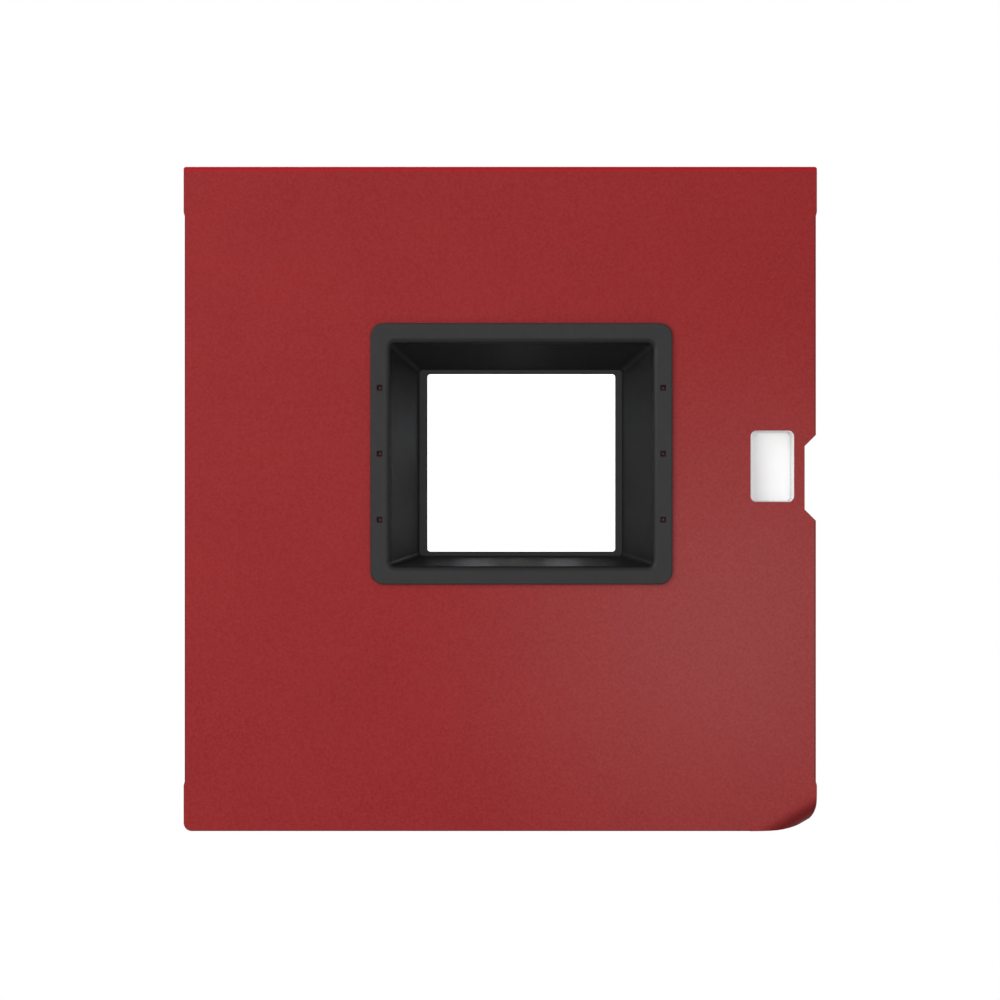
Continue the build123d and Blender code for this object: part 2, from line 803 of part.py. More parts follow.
def rim_screw_places():
    """Screws through the pan's top and bottom into the rim's skirt: x, depth, seat's height, head's way."""
    depth = rim_front - steel - rim_skirt / 2
    middle = (housing_right + housing_left) / 2
    ends = ((housing_top, 1), (housing_bottom, -1))
    return [(middle + x, depth, z, way) for x in spread(3, rim_screw_pitch) for z, way in ends]


def inlet_screw_places():
    return [(inlet_x + x, inlet_depth, housing_bottom, -1) for x in spread(2, inlet_screw_pitch)]


def cowl_screw_places():
    return [(window_x + x, vent_depth, housing_top, 1) for x in spread(2, cowl_screw_pitch)]


def front_rim():
    """Flange around the opening, with a skirt that stands inside the pan."""
    face = slab(housing_outline(0, pan_corner_radius), rim_front - steel, rim_front)
    inset = steel + fit_gap
    seam = rim_front - steel
    skirt = slab(housing_outline(inset, pan_corner_radius - steel), seam - rim_skirt, seam)
    skirt -= slab(housing_outline(inset + steel, pan_corner_radius - steel), 0, seam)
    body = face + skirt - slab(housing_outline(rim_width, pan_corner_radius), seam, far)
    for x, depth, z, _ in rim_screw_places():
        body -= upright_hole(x, depth, z, 4 * steel)
    for z, depth in hinge_screw_places():
        body -= side_hole(z, depth)
    return body


def rim_screws():
    return group([standing_screw(*place) for place in rim_screw_places()])


def wall_spacers():
    ring = Circle(spacer_radius) - Circle(wall_hole_radius)
    return group([slab(Pos(x, z) * ring, 0, wall_gap) for x, z in wall_hole_places()])


def hinge_screw_places():
    """Height and depth of the screws in the housing's leaf."""
    depth = hinge_depth - (knuckle_radius + knuckle_gap + leaf_reach) / 2
    return [(z, depth) for z in spread(hinge_screws, hinge_screw_pitch)]


def knuckles(first):
    """Every second knuckle of the hinge, starting with the first or the second."""
    pitch = hinge_length / knuckle_count
    pieces = []
    for index in range(first, knuckle_count, 2):
        low = -hinge_length / 2 + index * pitch + knuckle_gap / 2
        pieces.append((low, low + pitch - knuckle_gap))
    return pieces


def leaf_with_knuckles(plate, first, tongue):
    """Hinge leaf: its plate, with a tongue to each of its own knuckles, bored for the pin."""
    body = plate
    for low, high in knuckles(first):
        body += tongue(low, high)
        body += post(hinge_x, hinge_depth, knuckle_radius, low, high)
    bore = post(hinge_x, hinge_depth, hinge_pin_radius + pin_clearance, -hinge_length, hinge_length)
    return body - bore


def door_leaf():
    """Leaf on the liner's back, reaching from the pin towards the door's edge."""
    half = hinge_length / 2
    back = liner_back - leaf_thickness
    plate = block(leaf_left, leaf_edge, back, liner_back, -half, half)
    body = leaf_with_knuckles(plate, 1, lambda low, high: block(
        leaf_edge - cut_over, hinge_x, back, liner_back, low, high))
    for x, z in door_leaf_screw_places():
        body -= screw_hole(x, z)
    return body


def door_leaf_screw_places():
    return [((leaf_left + leaf_edge) / 2, z) for z in spread(hinge_screws, door_screw_pitch)]


def door_leaf_screws():
    length = leaf_thickness + liner_thickness - liner_skin - fit_gap
    seat = liner_back - leaf_thickness
    return group([screw(x, z, seat, -1, length) for x, z in door_leaf_screw_places()])


def housing_leaf():
    """Leaf on the housing's left wall, reaching back from the pin."""
    half = hinge_length / 2
    edge = hinge_depth - knuckle_radius - knuckle_gap
    back = hinge_depth - leaf_reach
    plate = block(housing_left - leaf_thickness, housing_left, back, edge, -half, half)
    body = leaf_with_knuckles(plate, 0, lambda low, high: block(
        housing_left - leaf_thickness, housing_left, edge - cut_over, hinge_depth, low, high))
    for z, depth in hinge_screw_places():
        body -= side_hole(z, depth)
    return body


def housing_leaf_screws():
    shapes = []
    for z, depth in hinge_screw_places():
        place = Pos(housing_left - leaf_thickness, -depth, z) * Rot(0, -90, 0)
        shapes.append(place * plain_screw(leaf_thickness + screw_grip))
    return group(shapes)


def hinge_pin():
    half = hinge_length / 2
    end = half + pin_head_gap + pin_head_height
    pin = post(hinge_x, hinge_depth, hinge_pin_radius, -end, end)
    for side in (-1, 1):
        z0, z1 = sorted((side * (half + pin_head_gap), side * end))
        pin += post(hinge_x, hinge_depth, pin_head_radius, z0, z1)
    return pin


def reflector():
    """Sheet trough: a flat back and two slanting sides, open at its top and bottom."""
    lean = (reflector_mouth - reflector_back) / 2
    shift = reflector_thickness * math.hypot(lean, reflector_depth) / reflector_depth
    ends = [(reflector_mouth / 2, reflector_depth), (reflector_mouth / 2 - shift, reflector_depth)]
    half = [(reflector_back / 2, 0), *ends, (reflector_back / 2 - shift, reflector_thickness)]
    outline = half + [(-x, y) for x, y in reversed(half)]
    trough = extrude(make_face(Polyline(*outline, outline[0]).edges()), reflector_height)
    low = window_z - reflector_height / 2
    body = Pos(window_x, -pan_inside, low) * mirror(trough, Plane.XZ)
    for x, z in reflector_screw_places():
        body -= screw_hole(x, z)
    gap = bracket_width + 2 * reflector_gap
    return body - column(window_x, 0, gap, far, low, shelf_top + reflector_gap)


def reflector_screws():
    seat = pan_inside + reflector_thickness
    length = reflector_thickness + screw_grip
    return group([screw(x, z, seat, 1, length) for x, z in reflector_screw_places()])


def lamp_bracket():
    x0, x1 = window_x - bracket_width / 2, window_x + bracket_width / 2
    front = lamp_depth + socket_radius + bracket_margin
    foot = block(x0, x1, pan_inside, pan_inside + shelf_thickness, shelf_top - bracket_drop, shelf_top)
    shelf = block(x0, x1, pan_inside, front, shelf_top - shelf_thickness, shelf_top)
    lip = block(x0, x1, front - shelf_thickness, front, shelf_top - bracket_lip, shelf_top)
    body = foot + shelf + lip
    body -= post(window_x, lamp_depth, bracket_wire_hole, shelf_top - 2 * shelf_thickness, shelf_top)
    for x, z in bracket_screw_places():
        body -= screw_hole(x, z)
    for x in spread(2, socket_screw_pitch):
        body -= upright_hole(window_x + x, lamp_depth, shelf_top, 2 * shelf_thickness)
    return body


def bracket_screws():
    seat = pan_inside + shelf_thickness
    return group([screw(x, z, seat, 1, shelf_thickness + screw_grip) for x, z in bracket_screw_places()])


def lampholder():
    """Stepped ceramic holder with a blind bore for the lamp's cap."""
    bore = cap_radius + socket_bore_gap
    neck = socket_radius - socket_step
    shoulder = socket_base + socket_step
    outside = [(socket_radius, 0), (socket_radius, socket_base), (neck, shoulder), (neck, socket_height)]
    inside = [(bore, socket_height), (bore, socket_floor), (0, socket_floor), (0, 0), (socket_radius, 0)]
    body = revolve(make_face((Plane.XZ * Polyline(*outside, *inside)).edges()), Axis.Z)
    for x in spread(2, socket_screw_pitch):
        body -= Pos(x, 0, 0) * Cylinder(screw_radius + screw_clearance, 2 * socket_floor - steel)
    for x in spread(2, lamp_wire_pitch):
        body -= Pos(x, 0, 0) * Cylinder(wire_radius, 2 * wire_entry)
    return Pos(window_x, -lamp_depth, shelf_top) * body


def lampholder_screws():
    seat = shelf_top - shelf_thickness
    length = shelf_thickness + screw_grip
    places = [window_x + x for x in spread(2, socket_screw_pitch)]
    return group([standing_screw(x, lamp_depth, seat, -1, length) for x in places])


def bulb_cap():
    """Screw cap, with its thread as rounded rings, standing on the holder's centre contact."""
    core = cap_radius - cap_thread_radius
    top = socket_floor + cap_length
    shell = socket_floor + cap_tip_height
    profile = [(0, socket_floor), (cap_tip_radius, socket_floor), (core, shell), (core, top), (0, top)]
    body = revolve(make_face((Plane.XZ * Polyline(*profile, profile[0])).edges()), Axis.Z)
    for index in range(cap_threads):
        body += Pos(0, 0, shell + (index + 1) * cap_thread_pitch) * Torus(core, cap_thread_radius)
    return Pos(window_x, -lamp_depth, shelf_top) * body


def bulb_glass():
    """Round bulb on a short neck that sits on the cap."""
    base = shelf_top + socket_floor + cap_length
    neck = Cylinder(neck_radius, bulb_z - base, align=(Align.CENTER, Align.CENTER, Align.MIN))
    body = neck + Pos(0, 0, bulb_z - base) * Sphere(bulb_radius)
    return Pos(window_x, -lamp_depth, base) * body


def vent_cowl():
    """Cover over the top slots, open only towards the wall."""
    top = housing_top + cowl_height
    front = vent_depth + cowl_length / 2
    inside = block(window_x - cowl_width / 2 + steel, window_x + cowl_width / 2 - steel, 0, front - steel,
                   housing_top, top - steel)
    body = column(window_x, vent_depth, cowl_width, cowl_length, housing_top, top) - inside
    for x, depth, z, _ in cowl_screw_places():
        body += post(x, depth, screw_head_radius, housing_top, top - steel)
        body -= upright_hole(x, depth, z, 2 * cowl_height)
    return body


def cowl_screws():
    length = cowl_height + screw_grip
    seat = housing_top + cowl_height
    return group([standing_screw(x, depth, seat, way, length) for x, depth, _, way in cowl_screw_places()])


def baffle(way):
    """Light trap inside the top slots, or the bottom ones if way is -1: a plate with two upright ends."""
    wall = way * (housing_top - steel)
    plate = wall - way * baffle_drop
    body = column(window_x, vent_depth, baffle_width, baffle_length, *sorted((plate, plate - way * steel)))
    for x in spread(2, baffle_width - steel):
        body += column(window_x + x, vent_depth, steel, baffle_length, *sorted((wall, plate - way * steel)))
    return body


def inlet_places():
    """Pin centres in the top view: two in a row and the earth pin nearer the wall."""
    row = inlet_depth + inlet_earth_offset / 2
    left, right = inlet_x - inlet_pin_pitch, inlet_x + inlet_pin_pitch
    return [(left, row), (inlet_x, row - inlet_earth_offset), (right, row)]


def mains_inlet():
    """Three-pin inlet that faces down, on a flange under the housing's bottom."""
    face = housing_bottom - inlet_flange_thickness
    mouth = column(inlet_x, inlet_depth, inlet_mouth_x, inlet_mouth_y, face, inlet_top - inlet_wall)
    mouth = chamfer(mouth.edges().filter_by(Axis.Z).sort_by(Axis.Y)[2:], inlet_key)
    body = column(inlet_x, inlet_depth, inlet_flange_x, inlet_flange_y, face, housing_bottom)
    body += column(inlet_x, inlet_depth, inlet_body_x, inlet_body_y, face, inlet_top)
    body -= mouth
    for x, depth in inlet_places():
        body -= column(x, depth, inlet_pin_x, inlet_pin_y, face, inlet_top)
    for x, depth, z, _ in inlet_screw_places():
        body -= upright_hole(x, depth, z, 2 * inlet_flange_thickness)
    return body


def inlet_pins():
    """Pins with a solder tab at their inner end."""
    pins = []
    for x, depth in inlet_places():
        tip = inlet_top - inlet_wall - inlet_pin_length
        pin = column(x, depth, inlet_pin_x, inlet_pin_y, tip, inlet_top)
        pins.append(pin + column(x, depth, tab_x, tab_y, inlet_top, inlet_top + tab_length))
    return group(pins)


def inlet_screws():
    length = inlet_flange_thickness + screw_grip
    seat = housing_bottom - inlet_flange_thickness
    return group([standing_screw(x, depth, seat, way, length) for x, depth, _, way in inlet_screw_places()])


def switch_tab_places():
    return [(switch_x + x, switch_depth) for x in spread(2, switch_tab_pitch)]


def switch_body():
    """Switch case in the housing's bottom, with a well for the rocker and two holes for its pivot."""
    face = housing_bottom - switch_flange
    flange_x, flange_y = (size + 2 * switch_flange_margin for size in (switch_body_x, switch_body_y))
    body = column(switch_x, switch_depth, flange_x, flange_y, face, housing_bottom)
    body += column(switch_x, switch_depth, switch_body_x, switch_body_y, face, switch_top)
    body -= column(switch_x, switch_depth, 2 * well_x, 2 * well_y, face, switch_top - switch_wall)
    body -= Pos(switch_x, -switch_depth, rocker_pivot_z) * Rot(90, 0, 0) * Cylinder(
        rocker_pivot_radius + pin_clearance, 2 * (well_y + rocker_pivot_grip))
    for x, depth in switch_tab_places():
        body -= column(x, depth, tab_x, tab_y, switch_top - switch_wall, switch_top)
    return body


def switch_tabs():
    return group([column(x, depth, tab_x, tab_y, switch_top - switch_wall, switch_top + tab_length)
                  for x, depth in switch_tab_places()])


def switch_rocker():
    """Rocker with one end pressed in: two slanting faces, and round ends about its pivot."""
    reach = well_x - rocker_gap
    slope = math.tan(math.radians(rocker_angle))
    valley = rocker_pivot_rise + rocker_proud - reach * slope
    tip = valley + reach * slope
    outline = Polyline((-reach, 0), (-reach, tip), (0, valley), (reach, tip), (reach, 0),
                       (rocker_hub, -rocker_hub), (-rocker_hub, -rocker_hub), (-reach, 0))
    face = make_face(outline.edges()) & Circle(reach)
    body = extrude(face, well_y - rocker_gap, both=True)
    body += Cylinder(rocker_pivot_radius, 2 * (well_y + rocker_pivot_grip - pin_clearance))
    return Pos(switch_x, -switch_depth, rocker_pivot_z) * Rot(0, rocker_angle, 0) * Rot(-90, 0, 0) * body


def block_screw_places():
    return [(window_x + x, block_z) for x in spread(2, block_screw_pitch)]


def block_ways():
    return [window_x + x for x in spread(2, lamp_wire_pitch)]


def terminal_block():
    """Ceramic block on the back wall, with a round way for each wire."""
    low, high = block_z - block_height / 2, block_z + block_height / 2
    body = block(window_x - block_width / 2, window_x + block_width / 2, pan_inside, block_front, low, high)
    body = fillet(body.edges().filter_by(Axis.Y), block_corner_radius)
    for x, z in block_screw_places():
        body -= screw_hole(x, z)
    for x in block_ways():
        body -= post(x, wire_depth, wire_radius, low, low + wire_entry)
        body -= post(x, wire_depth, wire_radius, high - wire_entry, high)
    return body


def block_screws():
    return group([screw(x, z, block_front, 1, block_depth + screw_grip) for x, z in block_screw_places()])


def wire(*points):
    """Insulated wire along straight runs and round bends, through points of x, depth and z."""
    path = FilletPolyline(*[(x, -depth, z) for x, depth, z in points], radius=wire_bend)
    return sweep(Plane(origin=path @ 0, z_dir=path % 0) * Circle(wire_radius), path=path)


def supply_wires():
    """Live from the inlet through the switch, and neutral straight to the terminal block."""
    (live_x, live_depth), _, (neutral_x, neutral_depth) = inlet_places()
    (out_x, out_depth), (in_x, in_depth) = switch_tab_places()
    left, right = block_ways()
    start, switch = inlet_top + tab_length, switch_top + tab_length
    end = block_z - block_height / 2 + wire_entry
    low, middle, high = (housing_bottom + wire_rise + level * wire_pitch for level in range(3))
    live = wire((live_x, live_depth, start), (live_x, live_depth, low), (live_x, wire_depth, low),
                (in_x, wire_depth, low), (in_x, in_depth, low), (in_x, in_depth, switch))
    switched = wire((out_x, out_depth, switch), (out_x, out_depth, middle), (out_x, wire_depth, middle),
                    (left, wire_depth, middle), (left, wire_depth, end))
    neutral = wire((neutral_x, neutral_depth, start), (neutral_x, neutral_depth, high),
                   (neutral_x, wire_depth, high), (right, wire_depth, high), (right, wire_depth, end))
    return group([live, switched, neutral])


def earth_wire():
    """From the inlet's earth pin to the earth screw on the back wall."""
    x, depth = inlet_places()[1]
    top = housing_bottom + earth_rise
    start = inlet_top + tab_length
    end = pan_inside + earth_nut_height
    return wire((x, depth, start), (x, depth, top), (x, end, top))


def earth_nut():
    """Nut that clamps the earth wire to the back wall."""
    x, _ = inlet_places()[1]
    outline = Pos(x, housing_bottom + earth_rise) * RegularPolygon(earth_nut_radius, 6)
    return slab(outline, pan_inside, pan_inside + earth_nut_height)


def lamp_wires():
    """From the terminal block up into the lampholder's base."""
    start = block_z + block_height / 2 - wire_entry
    level = block_z + block_height / 2 + wire_rise
    return group([wire((x, wire_depth, start), (x, wire_depth, level), (x, lamp_depth, level),
                       (x, lamp_depth, shelf_top + wire_entry)) for x in block_ways()])


def magnet_catch():
    """Magnet block beside the rim's right flange, with a foot that is fixed behind the flange."""
    edge = housing_right - rim_width
    low, high = catch_z - catch_length / 2, catch_z + catch_length / 2
    front = liner_back - strike_thickness - catch_gap
    foot_front = rim_front - steel
    foot_end = housing_right - 2 * (steel + fit_gap)
    body = block(edge - catch_width, edge, front - catch_depth, front, low, high)
    return body + block(edge, foot_end, foot_front - catch_foot, foot_front, low, high)


def strike_plate():
    """Steel plate on the liner, in front of the magnet."""
    middle = housing_right - rim_width - catch_width / 2
    outline = centred(middle, catch_z, strike_width, strike_length, strike_corner_radius)
    return slab(outline, liner_back - strike_thickness, liner_back)


parts = {
    "door_cladding": door_cladding,
    "door_studs": door_studs,
    "door_liner": door_liner,
    "liner_nuts": liner_nuts,
    "finger_cup": finger_cup,
    "door_seal": door_seal,
    "bezel": bezel,
    "holder_rail_left": lambda: holder_rail(-1),
    "holder_rail_right": lambda: holder_rail(1),
    "bottom_rail": bottom_rail,
    "rail_screws": rail_screws,
    "holder_frame": holder_frame,
    "opal_diffuser": opal_diffuser,
    "filter_glass": filter_glass,
    "glass_clips": glass_clips,
    "holder_tab": holder_tab,
    "housing_pan": housing_pan,
    "front_rim": front_rim,
    "rim_screws": rim_screws,
    "wall_spacers": wall_spacers,
    "door_leaf": door_leaf,
    "door_leaf_screws": door_leaf_screws,
    "housing_leaf": housing_leaf,
    "housing_leaf_screws": housing_leaf_screws,
    "hinge_pin": hinge_pin,
    "reflector": reflector,
    "reflector_screws": reflector_screws,
    "lamp_bracket": lamp_bracket,
    "bracket_screws": bracket_screws,
    "lampholder": lampholder,
    "lampholder_screws": lampholder_screws,
    "bulb_cap": bulb_cap,
    "bulb_glass": bulb_glass,
    "vent_cowl": vent_cowl,
    "cowl_screws": cowl_screws,
    "top_baffle": lambda: baffle(1),
    "bottom_baffle": lambda: baffle(-1),
    "mains_inlet": mains_inlet,
    "inlet_pins": inlet_pins,
    "inlet_screws": inlet_screws,
    "switch_body": switch_body,
    "switch_tabs": switch_tabs,
    "switch_rocker": switch_rocker,
    "terminal_block": terminal_block,
    "block_screws": block_screws,
    "supply_wires": supply_wires,
    "earth_wire": earth_wire,
    "earth_nut": earth_nut,
    "lamp_wires": lamp_wires,
    "magnet_catch": magnet_catch,
    "strike_plate": strike_plate,
}

os.makedirs("parts", exist_ok=True)
for name, make in parts.items():
    export_step(make(), f"parts/{name}.step")
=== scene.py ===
import math
import bpy
import bmesh
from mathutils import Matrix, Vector


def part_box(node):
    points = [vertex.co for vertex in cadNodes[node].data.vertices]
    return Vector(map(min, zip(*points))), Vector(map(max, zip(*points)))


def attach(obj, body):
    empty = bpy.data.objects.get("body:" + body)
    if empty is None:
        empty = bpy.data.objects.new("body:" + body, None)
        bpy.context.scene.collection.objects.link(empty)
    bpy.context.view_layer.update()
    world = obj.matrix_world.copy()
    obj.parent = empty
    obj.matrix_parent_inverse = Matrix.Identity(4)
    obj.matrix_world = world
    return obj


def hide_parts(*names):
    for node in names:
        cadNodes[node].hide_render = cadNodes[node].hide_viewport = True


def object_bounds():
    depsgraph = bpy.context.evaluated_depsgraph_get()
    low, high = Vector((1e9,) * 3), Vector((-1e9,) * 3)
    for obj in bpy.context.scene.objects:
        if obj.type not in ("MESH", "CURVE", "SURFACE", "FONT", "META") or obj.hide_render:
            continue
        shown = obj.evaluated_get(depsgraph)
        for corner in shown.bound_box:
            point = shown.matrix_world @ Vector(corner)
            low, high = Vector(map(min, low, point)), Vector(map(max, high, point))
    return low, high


# Darkroom safelight: a grained red door with a black hood on a white lamp housing. Lengths in metres,
# +Z up, +Y into the wall; the sizes of patterns and small pieces are given in millimetres.

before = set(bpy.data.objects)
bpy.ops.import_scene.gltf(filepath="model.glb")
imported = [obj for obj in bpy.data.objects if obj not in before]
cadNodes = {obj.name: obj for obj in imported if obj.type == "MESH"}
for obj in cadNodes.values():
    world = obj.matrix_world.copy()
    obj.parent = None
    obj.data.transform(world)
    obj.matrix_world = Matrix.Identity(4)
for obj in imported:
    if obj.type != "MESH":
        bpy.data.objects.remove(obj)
cadLow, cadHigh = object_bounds()
mm = 0.001
print("frame loaded:", len(cadNodes), "nodes")


def linear(hexText):  # sRGB hex to linear red, green, blue and alpha
    parts = [int(hexText[i:i + 2], 16) / 255 for i in (1, 3, 5)]
    return [c / 12.92 if c <= 0.04045 else ((c + 0.055) / 1.055) ** 2.4 for c in parts] + [1.0]


def addNode(tree, kind, inputs=None, **settings):  # a socket is given a value, or an output to link from
    made = tree.nodes.new(kind)
    for key, value in settings.items():
        setattr(made, key, value)
    for key, value in (inputs or {}).items():
        if isinstance(value, bpy.types.NodeSocket):
            tree.links.new(value, made.inputs[key])
        else:
            made.inputs[key].default_value = value
    return made


def newMaterial(name, **constants):  # also gives its tree, its shader and the place in millimetres
    material = bpy.data.materials.new(name)
    material.use_nodes = True
    tree = material.node_tree
    tree.nodes.clear()
    sockets = {key.replace("_", " "): value for key, value in constants.items()}
    shader = addNode(tree, "ShaderNodeBsdfPrincipled", sockets)
    addNode(tree, "ShaderNodeOutputMaterial", {"Surface": shader.outputs[0]})
    coords = addNode(tree, "ShaderNodeTexCoord")
    place = addNode(tree, "ShaderNodeVectorMath", {0: coords.outputs["Object"], "Scale": 1 / mm},
                    operation="SCALE")
    return material, tree, shader, place.outputs[0]


def cloud(tree, place, size, span=(0, 1), stretch=(1, 1, 1), detail=2.0, spread=0.22):
    # soft noise in patches of size mm, between the two values of span
    scaled = addNode(tree, "ShaderNodeMapping", {"Vector": place, "Scale": [k / size for k in stretch]})
    noise = addNode(tree, "ShaderNodeTexNoise", {"Vector": scaled.outputs[0], "Scale": 1.0, "Detail": detail})
    return addNode(tree, "ShaderNodeMapRange", {
        "Value": noise.outputs[0], "From Min": 0.5 - spread, "From Max": 0.5 + spread,
        "To Min": span[0], "To Max": span[1]}).outputs[0]


def cells(tree, place, size, limits, span=(0, 1)):
    # cells of size mm: span's first value in their middle and its second towards their border
    scaled = addNode(tree, "ShaderNodeMapping", {"Vector": place, "Scale": [1 / size] * 3})
    cell = addNode(tree, "ShaderNodeTexVoronoi", {"Vector": scaled.outputs[0], "Scale": 1.0})
    return addNode(tree, "ShaderNodeMapRange", {
        "Value": cell.outputs[0], "From Min": limits[0], "From Max": limits[1],
        "To Min": span[0], "To Max": span[1]}).outputs[0]


def layered(tree, base, *layers):  # lays tones over a base colour, each by its own share from 0 to 1
    colour = linear(base) if isinstance(base, str) else base
    for share, tone in layers:
        tone = linear(tone) if isinstance(tone, str) else tone
        colour = addNode(tree, "ShaderNodeMix", {0: share, 6: colour, 7: tone}, data_type="RGBA").outputs[2]
    return colour


def mottled(tree, place, look, detail=2.0):  # a look's two tones in soft patches
    share = cloud(tree, place, look["patch"], stretch=look.get("stretch", (1, 1, 1)), detail=detail)
    return layered(tree, look["tones"][0], (share, look["tones"][1]))


def surface(tree, shader, colour, rough=None, height=None, depth=0.0, normal=None):
    # what the shader shows; a height from 0 to 1 stands for a relief of depth mm
    tree.links.new(colour, shader.inputs["Base Color"])
    if rough is not None:
        tree.links.new(rough, shader.inputs["Roughness"])
    if height is not None:
        relief = {"Height": height, "Distance": depth * mm, "Strength": 1.0}
        if normal is not None:
            relief["Normal"] = normal
        tree.links.new(addNode(tree, "ShaderNodeBump", relief).outputs[0], shader.inputs["Normal"])


wearLook = {"flat": 0.98, "sharp": 0.75, "least": 0.15}


def edgeWear(tree, rounded, place, patch, amount, look):  # 1 on sharp edges, broken up in patches of patch mm
    true = addNode(tree, "ShaderNodeNewGeometry").outputs["True Normal"]
    same = addNode(tree, "ShaderNodeVectorMath", {0: true, 1: rounded}, operation="DOT_PRODUCT")
    edge = addNode(tree, "ShaderNodeMapRange", {"Value": same.outputs["Value"], "From Min": look["flat"],
                                                "From Max": look["sharp"]})
    broken = cloud(tree, place, patch, (look["least"] * amount, amount), detail=4.0)
    return addNode(tree, "ShaderNodeMath", {0: edge.outputs[0], 1: broken}, operation="MULTIPLY").outputs[0]


def finish(name, look, **constants):  # the common build of a finish from its dictionary
    material, tree, shader, place = newMaterial(name, **constants)
    patch, stretch = look["patch"], look.get("stretch", (1, 1, 1))
    colour = mottled(tree, place, look, detail=3.0)
    rounded = addNode(tree, "ShaderNodeBevel", {"Radius": look["edge"] * mm}, samples=4).outputs[0]
    if "worn" in look:
        worn = edgeWear(tree, rounded, place, patch / 2, look["wornShare"], wearLook)
        colour = layered(tree, colour, (worn, look["worn"]))
    rough = cloud(tree, place, patch / 3, look["rough"], stretch, 4.0)
    surface(tree, shader, colour, rough, cloud(tree, place, look["grain"], stretch=stretch), look["relief"],
            rounded)
    return material, tree, shader, place


# What the door shows: its skin, cup, hood, holder and panes

skinLook = {
    "red": "#8F1C1D", "redDeep": "#8A191A", "cloudSize": 13.0, "rough": (0.42, 0.50),
    "deepest": "#82141A", "driftSize": 60.0, "driftShare": 0.55,
    "pale": "#983536", "paleSize": 1.7, "paleShare": 0.5, "paleSpread": 0.26,
    # painted sheen: a paler, greyer red round the door's lower right
    "paintedSheen": "#974A49", "sheenCentre": (168.0, 0.0, -95.0), "sheenReach": 280.0, "sheenShares": (0.75, 1.2),
    # painted shade: a darker red on faces turned aside or down
    "paintedShade": "#6C1113", "shadeRise": (0.07, 0.45), "shadeFall": (0.97, 0.88),
    # painted top light: a brighter, purer red on faces turned up and on the band along the top edge
    "paintedTopLight": "#A81420", "topLightRise": (0.1, 0.5), "topLightBand": 3.0, "topLightBlend": 0.4,
    "primer": ("#8E8F8C", "#84858A"), "primerSize": 6.0, "innerRise": (0.6, 0.7),
    "grainSize": 1.1, "grainLimits": (0.1, 0.75), "grainShare": 0.10, "grainDepth": 0.018,
    "fineSize": 0.45, "fineDepth": 0.008,
}


